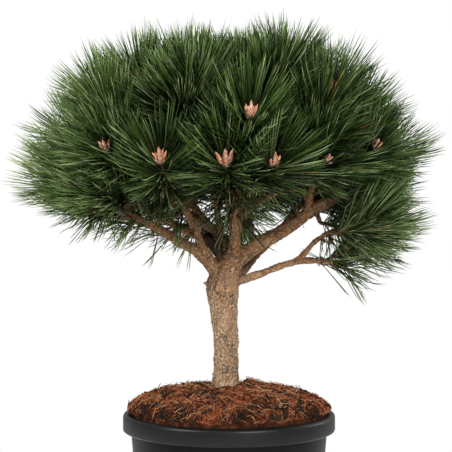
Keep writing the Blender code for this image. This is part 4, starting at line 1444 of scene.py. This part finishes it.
def make_chips():
    """Small angular scraps of bark and peat on the mound, and dark lumps and clods by its rim."""
    rng = random.Random(SEED + 4)
    corners, faces = icosahedron()
    heaps = {"dark": Heap(), "red": Heap()}
    reach = inner_radius(SOIL_EDGE_HEIGHT) - 0.006
    for number in range(CHIPS + LUMPS + len(CLODS)):
        lump = number >= CHIPS
        heap = heaps["dark" if lump or number % 5 < 2 else "red"]
        radius = reach * math.sqrt(rng.uniform(LUMPS_FROM if lump else 0.02, 1))
        turn = rng.uniform(0, 6.28)
        x, y = radius * math.cos(turn), radius * math.sin(turn)
        size = rng.uniform(*CHIP_SIZES) * (LUMP_SIZE if lump else 1.0)
        if number >= CHIPS + LUMPS:
            x, y, size = CLODS[number - CHIPS - LUMPS]
        squash = Vector([rng.uniform(0.4, 1.6) for _ in range(3)])
        centre = Vector((x, y, soil_surface(x, y) + size * 0.3))
        spin = Vector([rng.uniform(-1, 1) for _ in range(3)]).to_track_quat("Z", "Y")
        vertices = []
        for corner in corners:
            shaped = Vector([corner[k] * squash[k] * rng.uniform(0.7, 1.2) for k in range(3)])
            vertices.append(tuple(centre + spin @ shaped * size))
        heap.add(vertices, [], faces)
    for name, heap in heaps.items():
        finish = fibre_finish(f"chip_{name}_finish", *CHIP_COLOURS[name])
        heap.made(f"soil_chips_{name}", finish, "soil", False)


# Pot: the frame's outline with rounder edges, and its drain holes
POT_SEGMENTS = 128
SKIRT_ROUND = 0.0024
SHARP_EDGE = 50
DRAIN_SIDES = 16
DRAIN_SQUARENESS = 0.6
DRAIN_DEPTH = POT_WALL * 4


def arc(centre_radius, centre_height, round_radius, first, last, steps):
    """Points (radius, height) of an arc about a centre, between two angles in degrees."""
    turns = [math.radians(first + (last - first) * step / steps) for step in range(steps + 1)]
    return [
        (centre_radius + round_radius * math.cos(turn), centre_height + round_radius * math.sin(turn))
        for turn in turns
    ]


def make_pot():
    skirt_foot = POT_HEIGHT - RIM_SKIRT
    under_lip = POT_HEIGHT - POT_WALL
    inner = inner_radius(POT_HEIGHT)
    profile = [(POT_BASE_RADIUS - BASE_CHAMFER, 0.0)]
    profile += arc(POT_BASE_RADIUS - BASE_CHAMFER, BASE_CHAMFER, BASE_CHAMFER, -70, 0, 4)
    wall = [*np.linspace(BASE_CHAMFER + 0.004, skirt_foot, 6), under_lip - 0.001]
    profile += [(pot_wall_radius(height), height) for height in wall]
    profile += [
        (POT_RIM_RADIUS - POT_WALL - 0.001, under_lip - 0.001 - RIM_ROUND / 2),
        (POT_RIM_RADIUS - POT_WALL, skirt_foot + SKIRT_ROUND * 0.5),
    ]
    profile += arc(POT_RIM_RADIUS - SKIRT_ROUND, skirt_foot + SKIRT_ROUND, SKIRT_ROUND, 270, 360, 5)
    profile += arc(POT_RIM_RADIUS - RIM_ROUND, POT_HEIGHT - RIM_ROUND, RIM_ROUND, 0, 90, 6)
    profile += arc(inner + RIM_ROUND / 2, POT_HEIGHT - RIM_ROUND / 2, RIM_ROUND / 2, 90, 170, 4)
    profile += [(inner_radius(height), height) for height in (POT_HEIGHT - 0.010, POT_FLOOR)]
    turns = np.linspace(0, 2 * math.pi, POT_SEGMENTS, endpoint=False)
    vertices = [
        (radius * math.cos(turn), radius * math.sin(turn), height)
        for radius, height in profile
        for turn in turns
    ]
    vertices += [(0, 0, 0), (0, 0, POT_FLOOR)]
    faces = tube_faces(len(profile), POT_SEGMENTS)
    pot = piece("pot_shell", vertices, faces, pot_finish())
    cut_drains(pot)
    pot.data.shade_smooth()
    pot.data.set_sharp_from_angle(angle=math.radians(SHARP_EDGE))
    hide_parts("pot")


def cut_drains(pot):
    """The holes through the foot of the wall, by a Boolean with rounded blocks."""

    def squared(share, width):
        return math.copysign(abs(share) ** DRAIN_SQUARENESS, share) * width / 2

    cutters = Heap()
    for hole in range(DRAIN_HOLES):
        turn = 2 * math.pi * (hole + 0.5) / DRAIN_HOLES
        out = Vector((math.cos(turn), math.sin(turn), 0))
        across = Vector((-math.sin(turn), math.cos(turn), 0))
        centre = out * POT_BASE_RADIUS + UP * (BASE_CHAMFER + DRAIN_HEIGHT / 2)
        ends = [centre - out * DRAIN_DEPTH, centre + out * DRAIN_DEPTH]
        vertices = []
        for end, side in itertools.product(ends, range(DRAIN_SIDES)):
            angle = 2 * math.pi * side / DRAIN_SIDES
            wide, tall = squared(math.cos(angle), DRAIN_WIDTH), squared(math.sin(angle), DRAIN_HEIGHT)
            vertices.append(end + across * wide + UP * tall)
        vertices = [tuple(vertex) for vertex in (*vertices, *ends)]
        cutters.add(vertices, *tube_faces(2, DRAIN_SIDES))
    cutter = cutters.made("drain_cutter", pot.data.materials[0], "pot")
    cut = pot.modifiers.new("drains", "BOOLEAN")
    cut.operation = "DIFFERENCE"
    cut.object = cutter
    apply_modifiers(pot)
    bpy.data.objects.remove(cutter, do_unlink=True)


# Stage: a pale floor, soft light and the photo's camera
FLOOR_RADIUS = 0.95
FLOOR_SIDES = 96
LIGHTS_AIM = Vector((0, 0, 0.5))
CAMERA_DISTANCE = 1.700
CAMERA_HEIGHT = 0.514
CAMERA_SHIFT_X = -0.0043
VIEW_WIDTH = 0.6418
SENSOR = 36.0
LIGHTS = (
    ("key", (0.9, -2.0, 1.1), 0.9, 35),
    ("fill", (-1.6, -1.2, 1.5), 0.9, 35),
    ("top", (-0.1, 0.2, 2.3), 1.4, 47),
    ("right_edge", (1.7, 0.6, 0.9), 1.0, 9),
)
SKY_LIGHT = 0.43


def make_stage():
    ring = [
        (FLOOR_RADIUS * math.cos(turn), FLOOR_RADIUS * math.sin(turn), 0)
        for turn in np.linspace(0, 2 * math.pi, FLOOR_SIDES, endpoint=False)
    ]
    mesh = bpy.data.meshes.new("floor")
    faces = [(step, (step + 1) % FLOOR_SIDES, FLOOR_SIDES) for step in range(FLOOR_SIDES)]
    mesh.from_pydata([*ring, (0, 0, 0)], [], faces)
    mesh.materials.append(floor_finish())
    placed("floor", mesh)
    for name, place, size, power in LIGHTS:
        light = bpy.data.lights.new(name, "AREA")
        light.size = size
        light.energy = power
        lamp = placed(name, light)
        lamp.location = place
        lamp.rotation_euler = (LIGHTS_AIM - Vector(place)).to_track_quat("-Z", "Y").to_euler()
        lamp.visible_camera = False
    world = bpy.data.worlds.new("studio")
    bpy.context.scene.world = world
    world.use_nodes = True
    nodes, links = world.node_tree.nodes, world.node_tree.links
    path = nodes.new("ShaderNodeLightPath")
    strength = nodes.new("ShaderNodeMapRange")
    strength.inputs["To Min"].default_value = SKY_LIGHT
    strength.inputs["To Max"].default_value = 1.0
    links.new(path.outputs["Is Camera Ray"], strength.inputs["Value"])
    nodes["Background"].inputs["Color"].default_value = WHITE
    links.new(strength.outputs["Result"], nodes["Background"].inputs["Strength"])


def make_camera():
    data = bpy.data.cameras.new("camera")
    data.sensor_width = SENSOR
    data.lens = SENSOR * CAMERA_DISTANCE / VIEW_WIDTH
    camera = placed("camera", data)
    camera.location = (CAMERA_SHIFT_X, -CAMERA_DISTANCE, CAMERA_HEIGHT)
    camera.rotation_euler = (math.radians(90), 0, 0)
    bpy.context.scene.camera = camera
    bpy.context.scene.view_settings.view_transform = "Standard"


LIMBS = all_limbs()
CARRIED = carried_shoots()
TREE = limb_tree()

make_camera()
make_stage()
make_pot()
make_soil()
make_bark()
SPRIGS = make_twigs()
make_needles(SPRIGS)
make_buds(SPRIGS)
